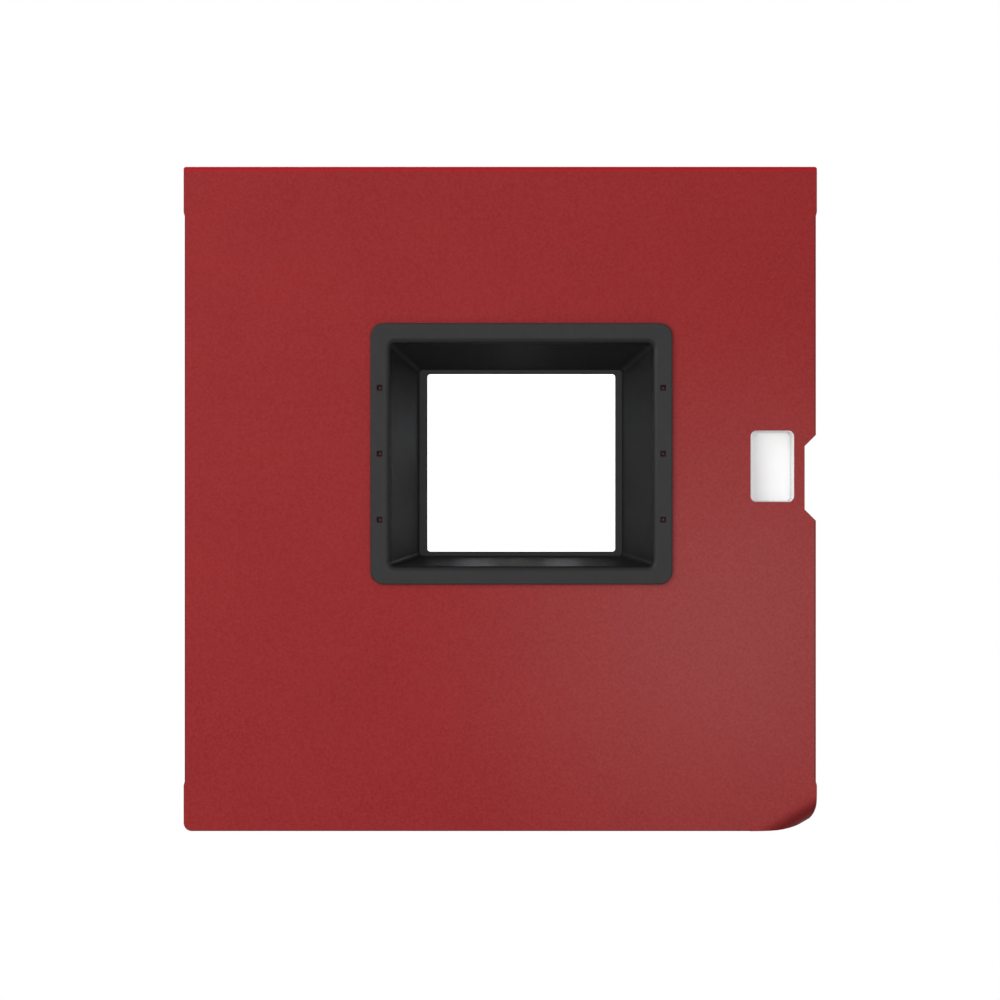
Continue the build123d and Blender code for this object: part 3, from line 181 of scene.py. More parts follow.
def embossedSkin(look):
    # PVC skin rolled on to steel sheet and embossed with a haircell grain: a broad soft sheen, a faint
    # leathery sparkle and slow clouds of a deeper red. Three tones are painted light: faces turned
    # up, and the band along the top edge, get a brighter, purer red as a painted top light; faces turned
    # aside or down, round the folds and the bent corner, get a darker red as painted shade, fading out
    # where they turn fully; and round the door's lower right a paler, greyer red is painted in as a
    # sheen. The inner side is bare grey primer.
    material, tree, shader, place = newMaterial("embossedPvcSkin", Specular_IOR_Level=0.12)
    # painted sheen: a paler, greyer red round the door's lower right, fading with distance, broken up by the
    # grain
    away = addNode(tree, "ShaderNodeVectorMath", {0: place, 1: look["sheenCentre"]}, operation="DISTANCE")
    near = addNode(tree, "ShaderNodeMapRange", {"Value": away.outputs["Value"], "From Min": look["sheenReach"],
                                                "From Max": 0.0}, interpolation_type="SMOOTHSTEP")
    uneven = cloud(tree, place, look["paleSize"], look["sheenShares"], detail=3.0, spread=look["paleSpread"])
    sheenShare = addNode(tree, "ShaderNodeMath", {0: near.outputs[0], 1: uneven}, operation="MULTIPLY").outputs[0]

    # painted shade: faces turned aside or down get a darker red, fading out where they turn fully
    facing = addNode(tree, "ShaderNodeTexCoord").outputs["Normal"]
    axes = addNode(tree, "ShaderNodeSeparateXYZ", {0: facing}).outputs
    height = addNode(tree, "ShaderNodeSeparateXYZ", {0: place}).outputs["Z"]
    aside = addNode(tree, "ShaderNodeMath", {0: axes["X"]}, operation="ABSOLUTE").outputs[0]
    under = addNode(tree, "ShaderNodeMath", {0: axes["Z"], 1: -1.0}, operation="MULTIPLY").outputs[0]
    turned = addNode(tree, "ShaderNodeMath", {0: aside, 1: under}, operation="MAXIMUM").outputs[0]
    # painted top light: faces turned up and the band along the top edge get a brighter, purer red
    bandLow = cadHigh.z / mm - look["topLightBand"]
    shares = {}
    for label, value, (low, high) in (
            ("rise", turned, look["shadeRise"]), ("fall", turned, look["shadeFall"]),
            ("bend", axes["Z"], look["topLightRise"]), ("band", height, (bandLow - look["topLightBlend"], bandLow)),
            ("inner", axes["Y"], look["innerRise"])):
        shares[label] = addNode(tree, "ShaderNodeMapRange", {"Value": value, "From Min": low,
                                                             "From Max": high}).outputs[0]
    shadeShare = addNode(tree, "ShaderNodeMath", {0: shares["rise"], 1: shares["fall"]}, operation="MULTIPLY")
    topLightShare = addNode(tree, "ShaderNodeMath", {0: shares["bend"], 1: shares["band"]}, operation="MAXIMUM")
    primer = layered(tree, look["primer"][0], (cloud(tree, place, look["primerSize"]), look["primer"][1]))

    colour = layered(
        tree, look["redDeep"],
        (cloud(tree, place, look["cloudSize"], detail=4.0), look["red"]),
        (cloud(tree, place, look["driftSize"], (0, look["driftShare"]), detail=3.0), look["deepest"]),
        (cells(tree, place, look["grainSize"], look["grainLimits"], (0, look["grainShare"])),
         look["redDeep"]),
        (cloud(tree, place, look["paleSize"], (0, look["paleShare"]), detail=3.0, spread=look["paleSpread"]),
         look["pale"]),
        (sheenShare, look["paintedSheen"]), (shadeShare.outputs[0], look["paintedShade"]), (topLightShare.outputs[0], look["paintedTopLight"]),
        (shares["inner"], primer))
    rough = cloud(tree, place, look["cloudSize"], look["rough"], detail=4.0)
    coarse = addNode(tree, "ShaderNodeBump", {
        "Height": cells(tree, place, look["grainSize"], look["grainLimits"]),
        "Distance": look["grainDepth"] * mm, "Strength": 1.0}).outputs[0]
    surface(tree, shader, colour, rough, cloud(tree, place, look["fineSize"]), look["fineDepth"], coarse)
    return material


linerLook = {"tones": ("#E2E1DC", "#DAD9D3"), "patch": 30.0, "grain": 1.2, "relief": 0.02,
             "rough": (0.38, 0.5), "edge": 0.6}


def formedLiner(look):
    # high-impact polystyrene sheet, vacuum formed: satin, with a slight orange peel from the mould
    return finish("vacuumFormedPolystyrene", look)[0]


cupLook = {"tones": ("#F8F8F8", "#F5F5F5"), "patch": 22.0, "grain": 5.0, "relief": 0.01,
           "rough": (0.16, 0.24), "edge": 3.0}


def glossyCup(look):
    # injection-moulded white polystyrene: glossy, clean, with a barely wavy surface and soft inner edges
    return finish("mouldedPolystyrene", look, Coat_Weight=0.15, Coat_Roughness=0.06)[0]


sealLook = {"tones": ("#1B1B1C", "#242425"), "patch": 5.0, "pit": "#0C0C0C", "poreSize": 0.9,
            "poreLimits": (0.15, 0.4), "poreDepth": 0.12, "rough": (0.82, 0.95)}


def cellularSeal(look):
    # cellular EPDM strip: dead matt black with small open pores
    material, tree, shader, place = newMaterial("cellularRubber", Specular_IOR_Level=0.3)
    pores = cells(tree, place, look["poreSize"], look["poreLimits"])
    rough = cells(tree, place, look["poreSize"], look["poreLimits"], look["rough"])
    colour = layered(tree, look["pit"], (pores, mottled(tree, place, look)))
    surface(tree, shader, colour, rough, pores, look["poreDepth"])
    return material


# the hood's pale edge tone is partly edge wear and partly a painted highlight along the rims
hoodLook = {"tones": ("#1B1B1C", "#1F1F20"), "patch": 9.0, "grain": 0.55, "relief": 0.02,
            "rough": (0.33, 0.41), "edge": 0.9, "worn": "#3A3A3C", "wornShare": 0.3}


def texturedHood(look):
    # ABS moulded against spark-eroded steel: charcoal and evenly rough; its sharp edges are paler, partly as
    # rubbed wear and partly as a painted highlight along the rims
    return finish("sparkTexturedAbs", look, Specular_IOR_Level=0.19)[0]


holderLook = {"tones": ("#161617", "#1A1A1B"), "patch": 14.0, "grain": 2.5, "relief": 0.012,
              "rough": (0.40, 0.48), "edge": 0.35, "worn": "#3A3A3C", "wornShare": 0.4}


def smoothHolder(look):
    # plain moulded ABS from a polished mould: dark with a soft gloss
    return finish("plainMouldedAbs", look, Specular_IOR_Level=0.16)[0]


# painted glow: the window's white emission stands in for light; the lamp behind it gives none
opalLook = {"tones": ("#F7F6F2", "#F2F1EC"), "patch": 40.0, "grain": 12.0, "relief": 0.01,
            "rough": (0.28, 0.36), "edge": 0.4, "glow": "#FFFDF8", "paintedGlowStrength": 1.0}


def opalWindow(look):
    # cast opal acrylic with a satin face and an even white glow with no hot spot: a painted glow made by
    # emission, not light from the lamp behind it, which gives none
    return finish("castOpalAcrylic", look, IOR=1.49, Emission_Strength=look["paintedGlowStrength"],
                  Emission_Color=linear(look["glow"]))[0]


rubyLook = {"tones": ("#B4161B", "#A81116"), "patch": 60.0, "dust": 3.0, "rough": (0.02, 0.12),
            "wave": 35.0, "waveDepth": 0.03}


def rubyFilter(look):
    # flashed ruby glass, fire polished: deep clear red with slightly wavy reflections and a little dust
    material, tree, shader, place = newMaterial("flashedRubyGlass", IOR=1.52, Transmission_Weight=0.85)
    rough = cloud(tree, place, look["dust"], look["rough"], detail=5.0)
    surface(tree, shader, mottled(tree, place, look), rough, cloud(tree, place, look["wave"]),
            look["waveDepth"])
    return material


# What the housing shows: enamel, plated steel, porcelain and wires

enamelLook = {"tones": ("#E6E5E0", "#DFDED8"), "patch": 45.0, "grain": 9.0, "relief": 0.02,
              "rough": (0.30, 0.33), "edge": 0.7, "worn": "#C9C6BC", "wornShare": 0.35}


def bakedEnamel(look):
    # stoving enamel sprayed on steel: white and satin, with thinner paint along edges. Its orange peel is
    # drawn wider than the real one, which would be too fine to see.
    return finish("bakedWhiteEnamel", look, Coat_Weight=0.1, Coat_Roughness=0.2)[0]


mattLook = {"tones": ("#1B1B1C", "#212122"), "patch": 8.0, "grain": 0.7, "relief": 0.03,
            "rough": (0.62, 0.78), "edge": 0.35, "worn": "#6A6A6B", "wornShare": 0.55}


def mattBlackEnamel(look):
    # matt black lacquer on steel: swallows light, with grey metal showing where edges are rubbed
    return finish("mattBlackLacquer", look, Specular_IOR_Level=0.4)[0]


zincLook = {"tones": ("#B9BBBD", "#A5A8AB"), "patch": 1.6, "grain": 0.35, "relief": 0.006,
            "rough": (0.26, 0.42), "edge": 0.15}


def zincPlate(look):
    # bright zinc electroplated on steel: cool grey metal with small cloudy patches
    return finish("brightZincPlate", look, Metallic=1.0)[0]


hingeLook = {"tones": ("#A9ABAC", "#8F9294"), "patch": 1.4, "stretch": (1, 1, 0.04), "grain": 0.35,
             "relief": 0.008, "rough": (0.28, 0.48), "edge": 0.25}


def rolledStrip(look):
    # cold-rolled strip, zinc plated: fine lines along the rolling direction draw the highlights out
    return finish("coldRolledStrip", look, Metallic=1.0)[0]


spangleLook = {"tones": ("#8F9598", "#B4B8BA"), "spangle": 7.0, "relief": 0.004, "rough": (0.3, 0.5),
               "edge": 0.3}


def galvanisedSheet(look):
    # hot-dip galvanised sheet: frosty grey crystals, each with its own brightness
    material, tree, shader, place = newMaterial("galvanisedSheet", Metallic=1.0)
    scaled = addNode(tree, "ShaderNodeMapping", {"Vector": place, "Scale": [1 / look["spangle"]] * 3})
    crystal = addNode(tree, "ShaderNodeTexVoronoi", {"Vector": scaled.outputs[0], "Scale": 1.0})
    shade = addNode(tree, "ShaderNodeSeparateColor", {0: crystal.outputs["Color"]}).outputs[0]
    rough = addNode(tree, "ShaderNodeMapRange", {"Value": shade, "To Min": look["rough"][0],
                                                 "To Max": look["rough"][1]}).outputs[0]
    rounded = addNode(tree, "ShaderNodeBevel", {"Radius": look["edge"] * mm}, samples=4).outputs[0]
    colour = layered(tree, look["tones"][0], (shade, look["tones"][1]))
    surface(tree, shader, colour, rough, shade, look["relief"], rounded)
    return material


springLook = {"tones": ("#7E8893", "#A39A86"), "patch": 6.0, "grain": 0.5, "relief": 0.004,
              "rough": (0.24, 0.36), "edge": 0.15}


def springSteel(look):
    # tempered spring steel: smooth metal with a blue to straw heat tint
    return finish("temperedSpringSteel", look, Metallic=1.0)[0]


reflectorLook = {"tones": ("#C6C8CB", "#D6D8DA"), "patch": 20.0, "dimple": 6.0, "dimpleLimits": (0.0, 0.8),
                 "dimpleDepth": 0.16, "film": 2.0, "rough": (0.16, 0.26)}


def hammeredReflector(look):
    # anodised aluminium with a hammered pattern: each dimple throws its own small highlight
    material, tree, shader, place = newMaterial("hammeredAnodisedAluminium", Metallic=1.0)
    dimples = cells(tree, place, look["dimple"], look["dimpleLimits"])
    rough = cloud(tree, place, look["film"], look["rough"])
    surface(tree, shader, mottled(tree, place, look), rough, dimples, look["dimpleDepth"])
    return material


glazeLook = {"tones": ("#EFEDE6", "#E8E5DC"), "patch": 12.0, "speck": 4.0, "speckLimits": (0.05, 0.09),
             "speckTone": "#8B7B66", "wave": 8.0, "waveDepth": 0.03, "edge": 0.8}


def glazedPorcelain(look):
    # slip-cast porcelain under clear glaze: creamy white with rare iron specks and wet highlights
    material, tree, shader, place = newMaterial("glazedPorcelain", Roughness=0.12, Coat_Weight=0.6,
                                                Coat_Roughness=0.03)
    clear = cells(tree, place, look["speck"], look["speckLimits"])
    colour = layered(tree, look["speckTone"], (clear, mottled(tree, place, look)))
    rounded = addNode(tree, "ShaderNodeBevel", {"Radius": look["edge"] * mm}, samples=4).outputs[0]
    surface(tree, shader, colour, None, cloud(tree, place, look["wave"]), look["waveDepth"], rounded)
    return material


steatiteLook = {"tones": ("#D9D3C4", "#CFC8B8"), "patch": 4.0, "grain": 0.6, "relief": 0.03,
                "rough": (0.55, 0.7), "edge": 0.4}


def pressedSteatite(look):
    # pressed unglazed steatite: chalky beige with a dry fine grain
    return finish("pressedSteatite", look)[0]


brassLook = {"tones": ("#C9A65A", "#B7924A"), "patch": 3.0, "grain": 0.4, "relief": 0.004,
             "rough": (0.2, 0.34), "edge": 0.15}


def turnedBrass(look):
    # turned brass, slightly tarnished: warm yellow metal with cloudy gloss
    return finish("turnedBrass", look, Metallic=1.0)[0]


nylonLook = {"tones": ("#19191A", "#202022"), "patch": 5.0, "grain": 0.8, "relief": 0.015,
             "rough": (0.4, 0.52), "edge": 0.25}


def filledNylon(look):
    # glass-filled nylon: near black with a slightly fibrous satin face
    return finish("glassFilledNylon", look, Specular_IOR_Level=0.45)[0]


rockerLook = {"tones": ("#141415", "#18181A"), "patch": 8.0, "grain": 3.0, "relief": 0.006,
              "rough": (0.12, 0.2), "edge": 0.3}


def glossRocker(look):
    # polished ABS: glossy black that mirrors the room softly
    return finish("polishedAbs", look)[0]


acetalLook = {"tones": ("#DEDCD4", "#D5D2C8"), "patch": 10.0, "grain": 1.0, "relief": 0.012,
              "rough": (0.36, 0.46), "edge": 0.4}


def mouldedAcetal(look):
    # moulded acetal: off-white with a waxy satin face
    return finish("mouldedAcetal", look)[0]


rubberLook = {"tones": ("#262627", "#2D2D2E"), "patch": 4.0, "grain": 0.9, "relief": 0.03,
              "rough": (0.7, 0.85), "edge": 0.5, "worn": "#3E3E3F", "wornShare": 0.4}


def mouldedRubber(look):
    # moulded natural rubber: soft matt black, greyer along its rubbed edges
    return finish("mouldedRubber", look, Specular_IOR_Level=0.3)[0]


brownWireLook = {"tones": ("#5A3220", "#4E2A1B"), "patch": 5.0, "grain": 0.5, "relief": 0.008,
                 "rough": (0.34, 0.46), "edge": 0.1}
paleWireLook = {**brownWireLook, "tones": ("#CFC6B2", "#C2B8A2")}


def wireSkin(name, look):
    # extruded insulation: smooth, with faint die lines and a satin sheen
    return finish(name, look)[0]


earthLook = {"tones": ("#C9B52A", "#2E7D3A"), "seam": (-0.25, -0.15), "grime": "#3A3A30", "grimeSize": 4.0,
             "grimeShare": 0.15, "film": 2.0, "rough": (0.34, 0.46)}


def earthSkin(look):
    # green and yellow insulation: the two colours lie in lengthwise halves, as earth wires have them
    material, tree, shader, place = newMaterial("stripedPvcInsulation")
    low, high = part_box("earth_wire")
    middle = (low.x + high.x) / 2 / mm
    x = addNode(tree, "ShaderNodeSeparateXYZ", {0: place}).outputs["X"]
    side = addNode(tree, "ShaderNodeMapRange", {"Value": x, "From Min": middle + look["seam"][0],
                                                "From Max": middle + look["seam"][1]}).outputs[0]
    grime = cloud(tree, place, look["grimeSize"], (0, look["grimeShare"]))
    colour = layered(tree, look["tones"][0], (side, look["tones"][1]), (grime, look["grime"]))
    surface(tree, shader, colour, cloud(tree, place, look["film"], look["rough"]))
    return material


bulbLook = {"tones": ("#F3F2EC", "#ECEAE2"), "patch": 15.0, "etch": 1.0, "rough": (0.4, 0.55),
            "wave": 18.0, "waveDepth": 0.03}


def pearlGlass(look):
    # blown glass etched inside: milky, with a polished outer face
    material, tree, shader, place = newMaterial("pearlBlownGlass", Transmission_Weight=0.35, IOR=1.5,
                                                Coat_Weight=0.8, Coat_Roughness=0.03)
    surface(tree, shader, mottled(tree, place, look), cloud(tree, place, look["etch"], look["rough"]),
            cloud(tree, place, look["wave"]), look["waveDepth"])
    return material


nickelLook = {"tones": ("#BFB9AC", "#A9A395"), "patch": 2.0, "grain": 0.4, "relief": 0.004,
              "rough": (0.2, 0.32), "edge": 0.2}


def nickelPlate(look):
    # nickel-plated brass: bright with a warm tint
    return finish("nickelPlatedBrass", look, Metallic=1.0)[0]


cadFinishes = {
    "door_cladding": embossedSkin(skinLook),
    "finger_cup": glossyCup(cupLook),
    "door_liner": formedLiner(linerLook),
    "door_seal": cellularSeal(sealLook),
    "bezel": texturedHood(hoodLook),
    "holder_frame": smoothHolder(holderLook),
    "opal_diffuser": opalWindow(opalLook),
    "filter_glass": rubyFilter(rubyLook),
    "glass_clips": springSteel(springLook),
    "reflector": hammeredReflector(reflectorLook),
    "lampholder": glazedPorcelain(glazeLook),
    "terminal_block": pressedSteatite(steatiteLook),
    "inlet_pins": turnedBrass(brassLook),
    "switch_rocker": glossRocker(rockerLook),
    "magnet_catch": mouldedAcetal(acetalLook),
    "wall_spacers": mouldedRubber(rubberLook),
    "supply_wires": wireSkin("brownPvcInsulation", brownWireLook),
    "lamp_wires": wireSkin("siliconeInsulation", paleWireLook),
    "earth_wire": earthSkin(earthLook),
    "lamp_bracket": galvanisedSheet(spangleLook),
    "bulb_glass": pearlGlass(bulbLook),
}
sharedFinishes = [
    (bakedEnamel(enamelLook), ("housing_pan", "front_rim", "vent_cowl")),
    (mattBlackEnamel(mattLook), ("holder_rail_left", "holder_rail_right", "bottom_rail", "holder_tab",
                                 "top_baffle", "bottom_baffle")),
    (zincPlate(zincLook), ("door_studs", "liner_nuts", "rail_screws", "rim_screws", "door_leaf_screws",
                           "housing_leaf_screws", "reflector_screws", "bracket_screws", "lampholder_screws",
                           "cowl_screws", "inlet_screws", "block_screws", "earth_nut")),
    (rolledStrip(hingeLook), ("door_leaf", "housing_leaf", "hinge_pin", "strike_plate")),
    (filledNylon(nylonLook), ("mains_inlet", "switch_body")),
    (nickelPlate(nickelLook), ("switch_tabs", "bulb_cap")),
]
for material, names in sharedFinishes:
    for name in names:
        cadFinishes[name] = material
for name, part in cadNodes.items():
    for slot in part.material_slots:
        slot.material = cadFinishes[name]
for name in ("opal_diffuser", "filter_glass"):  # the window's glow stays off the hood's walls
    cadNodes[name].visible_diffuse = False
    cadNodes[name].visible_glossy = False
print("finishes:", len(bpy.data.materials), "materials")


# The lamp, and small pieces that the solids leave out

def link(name, mesh, material=None):
    piece = bpy.data.objects.new(name, mesh)
    bpy.context.scene.collection.objects.link(piece)
    if material:
        mesh.materials.append(material)
    return piece


def meshed(name, shape, material, smooth=False):  # a piece from a bmesh, its faces turned outwards
    bmesh.ops.recalc_face_normals(shape, faces=shape.faces)
    mesh = bpy.data.meshes.new(name)
    shape.to_mesh(mesh)
    shape.free()
    for face in mesh.polygons:
        face.use_smooth = smooth
    return link(name, mesh, material)


def pointRing(centre, z, radii):  # points round a vertical line, one for each radius
    turns = [2 * math.pi * i / len(radii) for i in range(len(radii))]
    return [(centre.x + r * math.cos(a), centre.y + r * math.sin(a), z) for r, a in zip(radii, turns)]


def skinned(name, rings, material):  # a smooth closed body over rings of points; a single point is a pole
    shape = bmesh.new()
    rings = [[shape.verts.new(point) for point in ring] for ring in rings]
    for lower, upper in zip(rings, rings[1:]):
        count = max(len(lower), len(upper))
        for i in range(count):
            j = (i + 1) % count
            if len(lower) == 1:
                shape.faces.new((lower[0], upper[j], upper[i]))
            elif len(upper) == 1:
                shape.faces.new((lower[i], lower[j], upper[0]))
            else:
                shape.faces.new((lower[i], lower[j], upper[j], upper[i]))
    return meshed(name, shape, material, smooth=True)


lampSettings = {
    "wall": 0.7,            # mm of glass
    "neckRadius": 11.5,     # mm
    "blend": 9.0,           # mm over which the neck flares into the globe
    "dip": 0.6,             # mm by which the globe is drawn in there
    "steps": 40,            # from the neck to the crown
    "around": 64,
}


def lampGlass(settings):
    low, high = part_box("bulb_glass")
    centre = (low + high) / 2
    radius = (high.x - low.x) / 2
    middle = high.z - radius
    neck, blend, dip = (settings[key] * mm for key in ("neckRadius", "blend", "dip"))
    reach = math.acos(neck / radius)
    joinZ = middle - radius * math.sin(reach)

    def line(inset):  # radius and height from the neck to the crown
        points = [(neck - inset, low.z + inset)]
        for i in range(settings["steps"] + 1):
            angle = -reach + (reach + math.pi / 2) * i / settings["steps"]
            r, z = (radius - inset) * math.cos(angle), middle + (radius - inset) * math.sin(angle)
            lift = max(0.0, 1 - (z - joinZ) / blend)
            points.append((max(r - lift * lift * dip, 0.0) if i else neck - inset, z))
        return points[:-1] + [(0.0, points[-1][1])]

    shell = line(settings["wall"] * mm)[::-1] + line(0.0)  # down inside, round the neck's lip and up outside
    rings = [pointRing(centre, z, [r] * settings["around"] if r else [0.0]) for r, z in shell]
    glass = skinned("lampGlass", rings, cadFinishes["bulb_glass"])
    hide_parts("bulb_glass")
    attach(glass, "housing")


capSettings = {
    "pitch": 3.2, "depth": 1.15, "turns": 5, "rows": 8,     # of the thread; rows of faces in each turn
    "threadFrom": 1.0, "threadTo": 1.6,                     # mm left plain at the shoulder and at the top
    "tipRadius": 4.5, "tipFlat": 2.7, "tipEdge": 0.5, "tipHeight": 1.4,
    "shoulder": 4.5, "cone": (0.72, 0.8),                   # shares of the core's radius and the height
    "around": 48,
}


def lampCap(settings):
    low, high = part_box("bulb_cap")
    centre = (low + high) / 2
    depth, tip, shoulder = (settings[key] * mm for key in ("depth", "tipRadius", "shoulder"))
    core = (high.x - low.x) / 2 - depth
    rows, around = settings["rows"] * settings["turns"], settings["around"]
    threadLow, threadHigh = low.z + shoulder + settings["threadFrom"] * mm, high.z - settings["threadTo"] * mm
    levels = [(settings["tipFlat"] * mm, low.z, 0.0), (tip, low.z + settings["tipEdge"] * mm, 0.0),
              (tip, low.z + settings["tipHeight"] * mm, 0.0),
              (core * settings["cone"][0], low.z + shoulder * settings["cone"][1], 0.0),
              (core, low.z + shoulder, 0.0)]
    for i in range(rows + 1):
        fade = min(1.0, min(i, rows - i) / settings["rows"] * 2)
        levels.append((core, threadLow + (threadHigh - threadLow) * i / rows, fade))
    levels.append((core, high.z, 0.0))
    rings = [pointRing(centre, low.z, [0.0])]
    for r, z, fade in levels:
        climb = (z - threadLow) / (settings["pitch"] * mm)
        waves = [0.5 + 0.5 * math.cos(2 * math.pi * (climb - k / around)) for k in range(around)]
        rings.append(pointRing(centre, z, [r + fade * wave * depth for wave in waves]))
    rings.append(pointRing(centre, high.z, [0.0]))
    cap = skinned("lampCap", rings, cadFinishes["bulb_cap"])
    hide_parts("bulb_cap")
    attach(cap, "housing")


lampGlass(lampSettings)
lampCap(capSettings)
print("lamp made")


def newTree(name, inputs):  # a geometry tree with named inputs: name to socket type
    tree = bpy.data.node_groups.new(name, "GeometryNodeTree")
    tree.interface.new_socket(name="Geometry", in_out="INPUT", socket_type="NodeSocketGeometry")
    for label, kind in inputs.items():
        tree.interface.new_socket(name=label, in_out="INPUT", socket_type=kind)
    tree.interface.new_socket(name="Geometry", in_out="OUTPUT", socket_type="NodeSocketGeometry")
    return tree, addNode(tree, "NodeGroupInput").outputs


def closeTree(tree, geometry, material, smooth=True):  # realized and with its material, as a plain mesh needs
    real = addNode(tree, "GeometryNodeRealizeInstances", {0: geometry})
    shaded = addNode(tree, "GeometryNodeSetShadeSmooth", {0: real.outputs[0], "Shade Smooth": smooth})
    dressed = addNode(tree, "GeometryNodeSetMaterial", {0: shaded.outputs[0], "Material": material})
    addNode(tree, "NodeGroupOutput", {0: dressed.outputs[0]})


def fromTree(name, tree, values, points=(), facings=()):  # the tree's result on those points, as a mesh
    base = bpy.data.meshes.new(name + "Places")
    base.from_pydata([tuple(p) for p in points], [], [])
    if facings:
        stored = base.attributes.new("facing", "FLOAT_VECTOR", "POINT")
        for item, facing in zip(stored.data, facings):
            item.vector = facing
    holder = link(name + "Places", base)
    modifier = holder.modifiers.new("tree", "NODES")
    modifier.node_group = tree
    for socket in tree.interface.items_tree:
        if socket.in_out == "INPUT" and socket.name in values:
            modifier[socket.identifier] = values[socket.name]
    graph = bpy.context.evaluated_depsgraph_get()
    mesh = bpy.data.meshes.new_from_object(holder.evaluated_get(graph))
    bpy.data.objects.remove(holder)
    return link(name, mesh)


tabSettings = {"ribs": 7, "pitch": 2.2, "radius": 0.45, "length": 3.4, "behind": 1.0, "sunk": 0.2}


def tabRibs(settings):  # finger grip rolled into the lifting tab's front turn
    low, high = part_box("holder_tab")
    tree, given = newTree("gripRibs", {"Ribs": "NodeSocketInt", "Pitch": "NodeSocketFloat",
                                       "Radius": "NodeSocketFloat", "Length": "NodeSocketFloat",
                                       "Finish": "NodeSocketMaterial"})
    step = addNode(tree, "ShaderNodeCombineXYZ", {"X": given["Pitch"]})
    row = addNode(tree, "GeometryNodeMeshLine", {"Count": given["Ribs"], "Offset": step.outputs[0]},
                  mode="OFFSET")
    ends = []
    for share in (-0.5, 0.5):
        end = addNode(tree, "ShaderNodeMath", {0: given["Length"], 1: share}, operation="MULTIPLY").outputs[0]
        ends.append(addNode(tree, "ShaderNodeCombineXYZ", {"Y": end}).outputs[0])
    line = addNode(tree, "GeometryNodeCurvePrimitiveLine", {"Start": ends[0], "End": ends[1]})
    ring = addNode(tree, "GeometryNodeCurvePrimitiveCircle", {"Resolution": 12, "Radius": given["Radius"]})
    bar = addNode(tree, "GeometryNodeCurveToMesh", {"Curve": line.outputs[0], "Fill Caps": True,
                                                    "Profile Curve": ring.outputs[0]})
    placed = addNode(tree, "GeometryNodeInstanceOnPoints", {"Points": row.outputs[0],
                                                            "Instance": bar.outputs[0]})
    span = (settings["ribs"] - 1) * settings["pitch"] * mm
    start = ((low.x + high.x - span) / 2, (low.y + high.y) / 2 + settings["behind"] * mm,
             high.z - settings["sunk"] * mm)
    moved = addNode(tree, "GeometryNodeTransform", {"Geometry": placed.outputs[0], "Translation": start})
    closeTree(tree, moved.outputs[0], given["Finish"])
    values = {"Ribs": settings["ribs"], "Pitch": settings["pitch"] * mm, "Radius": settings["radius"] * mm,
              "Length": settings["length"] * mm, "Finish": cadFinishes["holder_tab"]}
    ribs = fromTree("tabRibs", tree, values)
    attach(ribs, "filter_holder")


weldSettings = {"count": 8, "radius": 2.4, "rise": 0.18, "fromCorner": 7.0, "lead": 0.7, "spare": 0.4}


def spotWelds(settings):  # electrode marks where the pan's corner tabs are welded behind its side walls
    low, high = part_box("housing_pan")
    tree, given = newTree("weldMarks", {"Radius": "NodeSocketFloat", "Rise": "NodeSocketFloat",
                                        "Finish": "NodeSocketMaterial"})
    rim = addNode(tree, "GeometryNodeCurvePrimitiveCircle", {"Resolution": 20, "Radius": given["Radius"]})
    section = addNode(tree, "GeometryNodeCurvePrimitiveCircle", {"Resolution": 6, "Radius": given["Rise"]})
    mark = addNode(tree, "GeometryNodeCurveToMesh", {"Curve": rim.outputs[0],
                                                     "Profile Curve": section.outputs[0]})
    facing = addNode(tree, "GeometryNodeInputNamedAttribute", {"Name": "facing"}, data_type="FLOAT_VECTOR")
    turn = addNode(tree, "FunctionNodeAlignRotationToVector", {"Vector": facing.outputs[0]}, axis="Z")
    placed = addNode(tree, "GeometryNodeInstanceOnPoints", {"Points": given["Geometry"],
                                                            "Instance": mark.outputs[0],
                                                            "Rotation": turn.outputs[0]})
    closeTree(tree, placed.outputs[0], given["Finish"])
    points, facings = [], []
    for side, x in ((-1, low.x), (1, high.x)):
        for z in (low.z + settings["fromCorner"] * mm, high.z - settings["fromCorner"] * mm):
            for i in range(settings["count"]):
                share = (i + settings["lead"]) / (settings["count"] + settings["spare"])
                points.append((x, low.y + (high.y - low.y) * share, z))
                facings.append((side, 0, 0))
    values = {"Radius": settings["radius"] * mm, "Rise": settings["rise"] * mm,
              "Finish": cadFinishes["housing_pan"]}
    welds = fromTree("weldMarks", tree, values, points, facings)
    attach(welds, "housing")


# Painted shade: the flange's six square openings get dark pads, each with a hole through which the red skin
# shows
shadePadSettings = {"fromEdge": 6.4, "pitch": 46.2, "rows": 3, "outer": 3.7, "inner": 1.6, "depth": 0.9,
               "sunk": 1.8, "frontLayer": 1.0, "merge": 0.01}


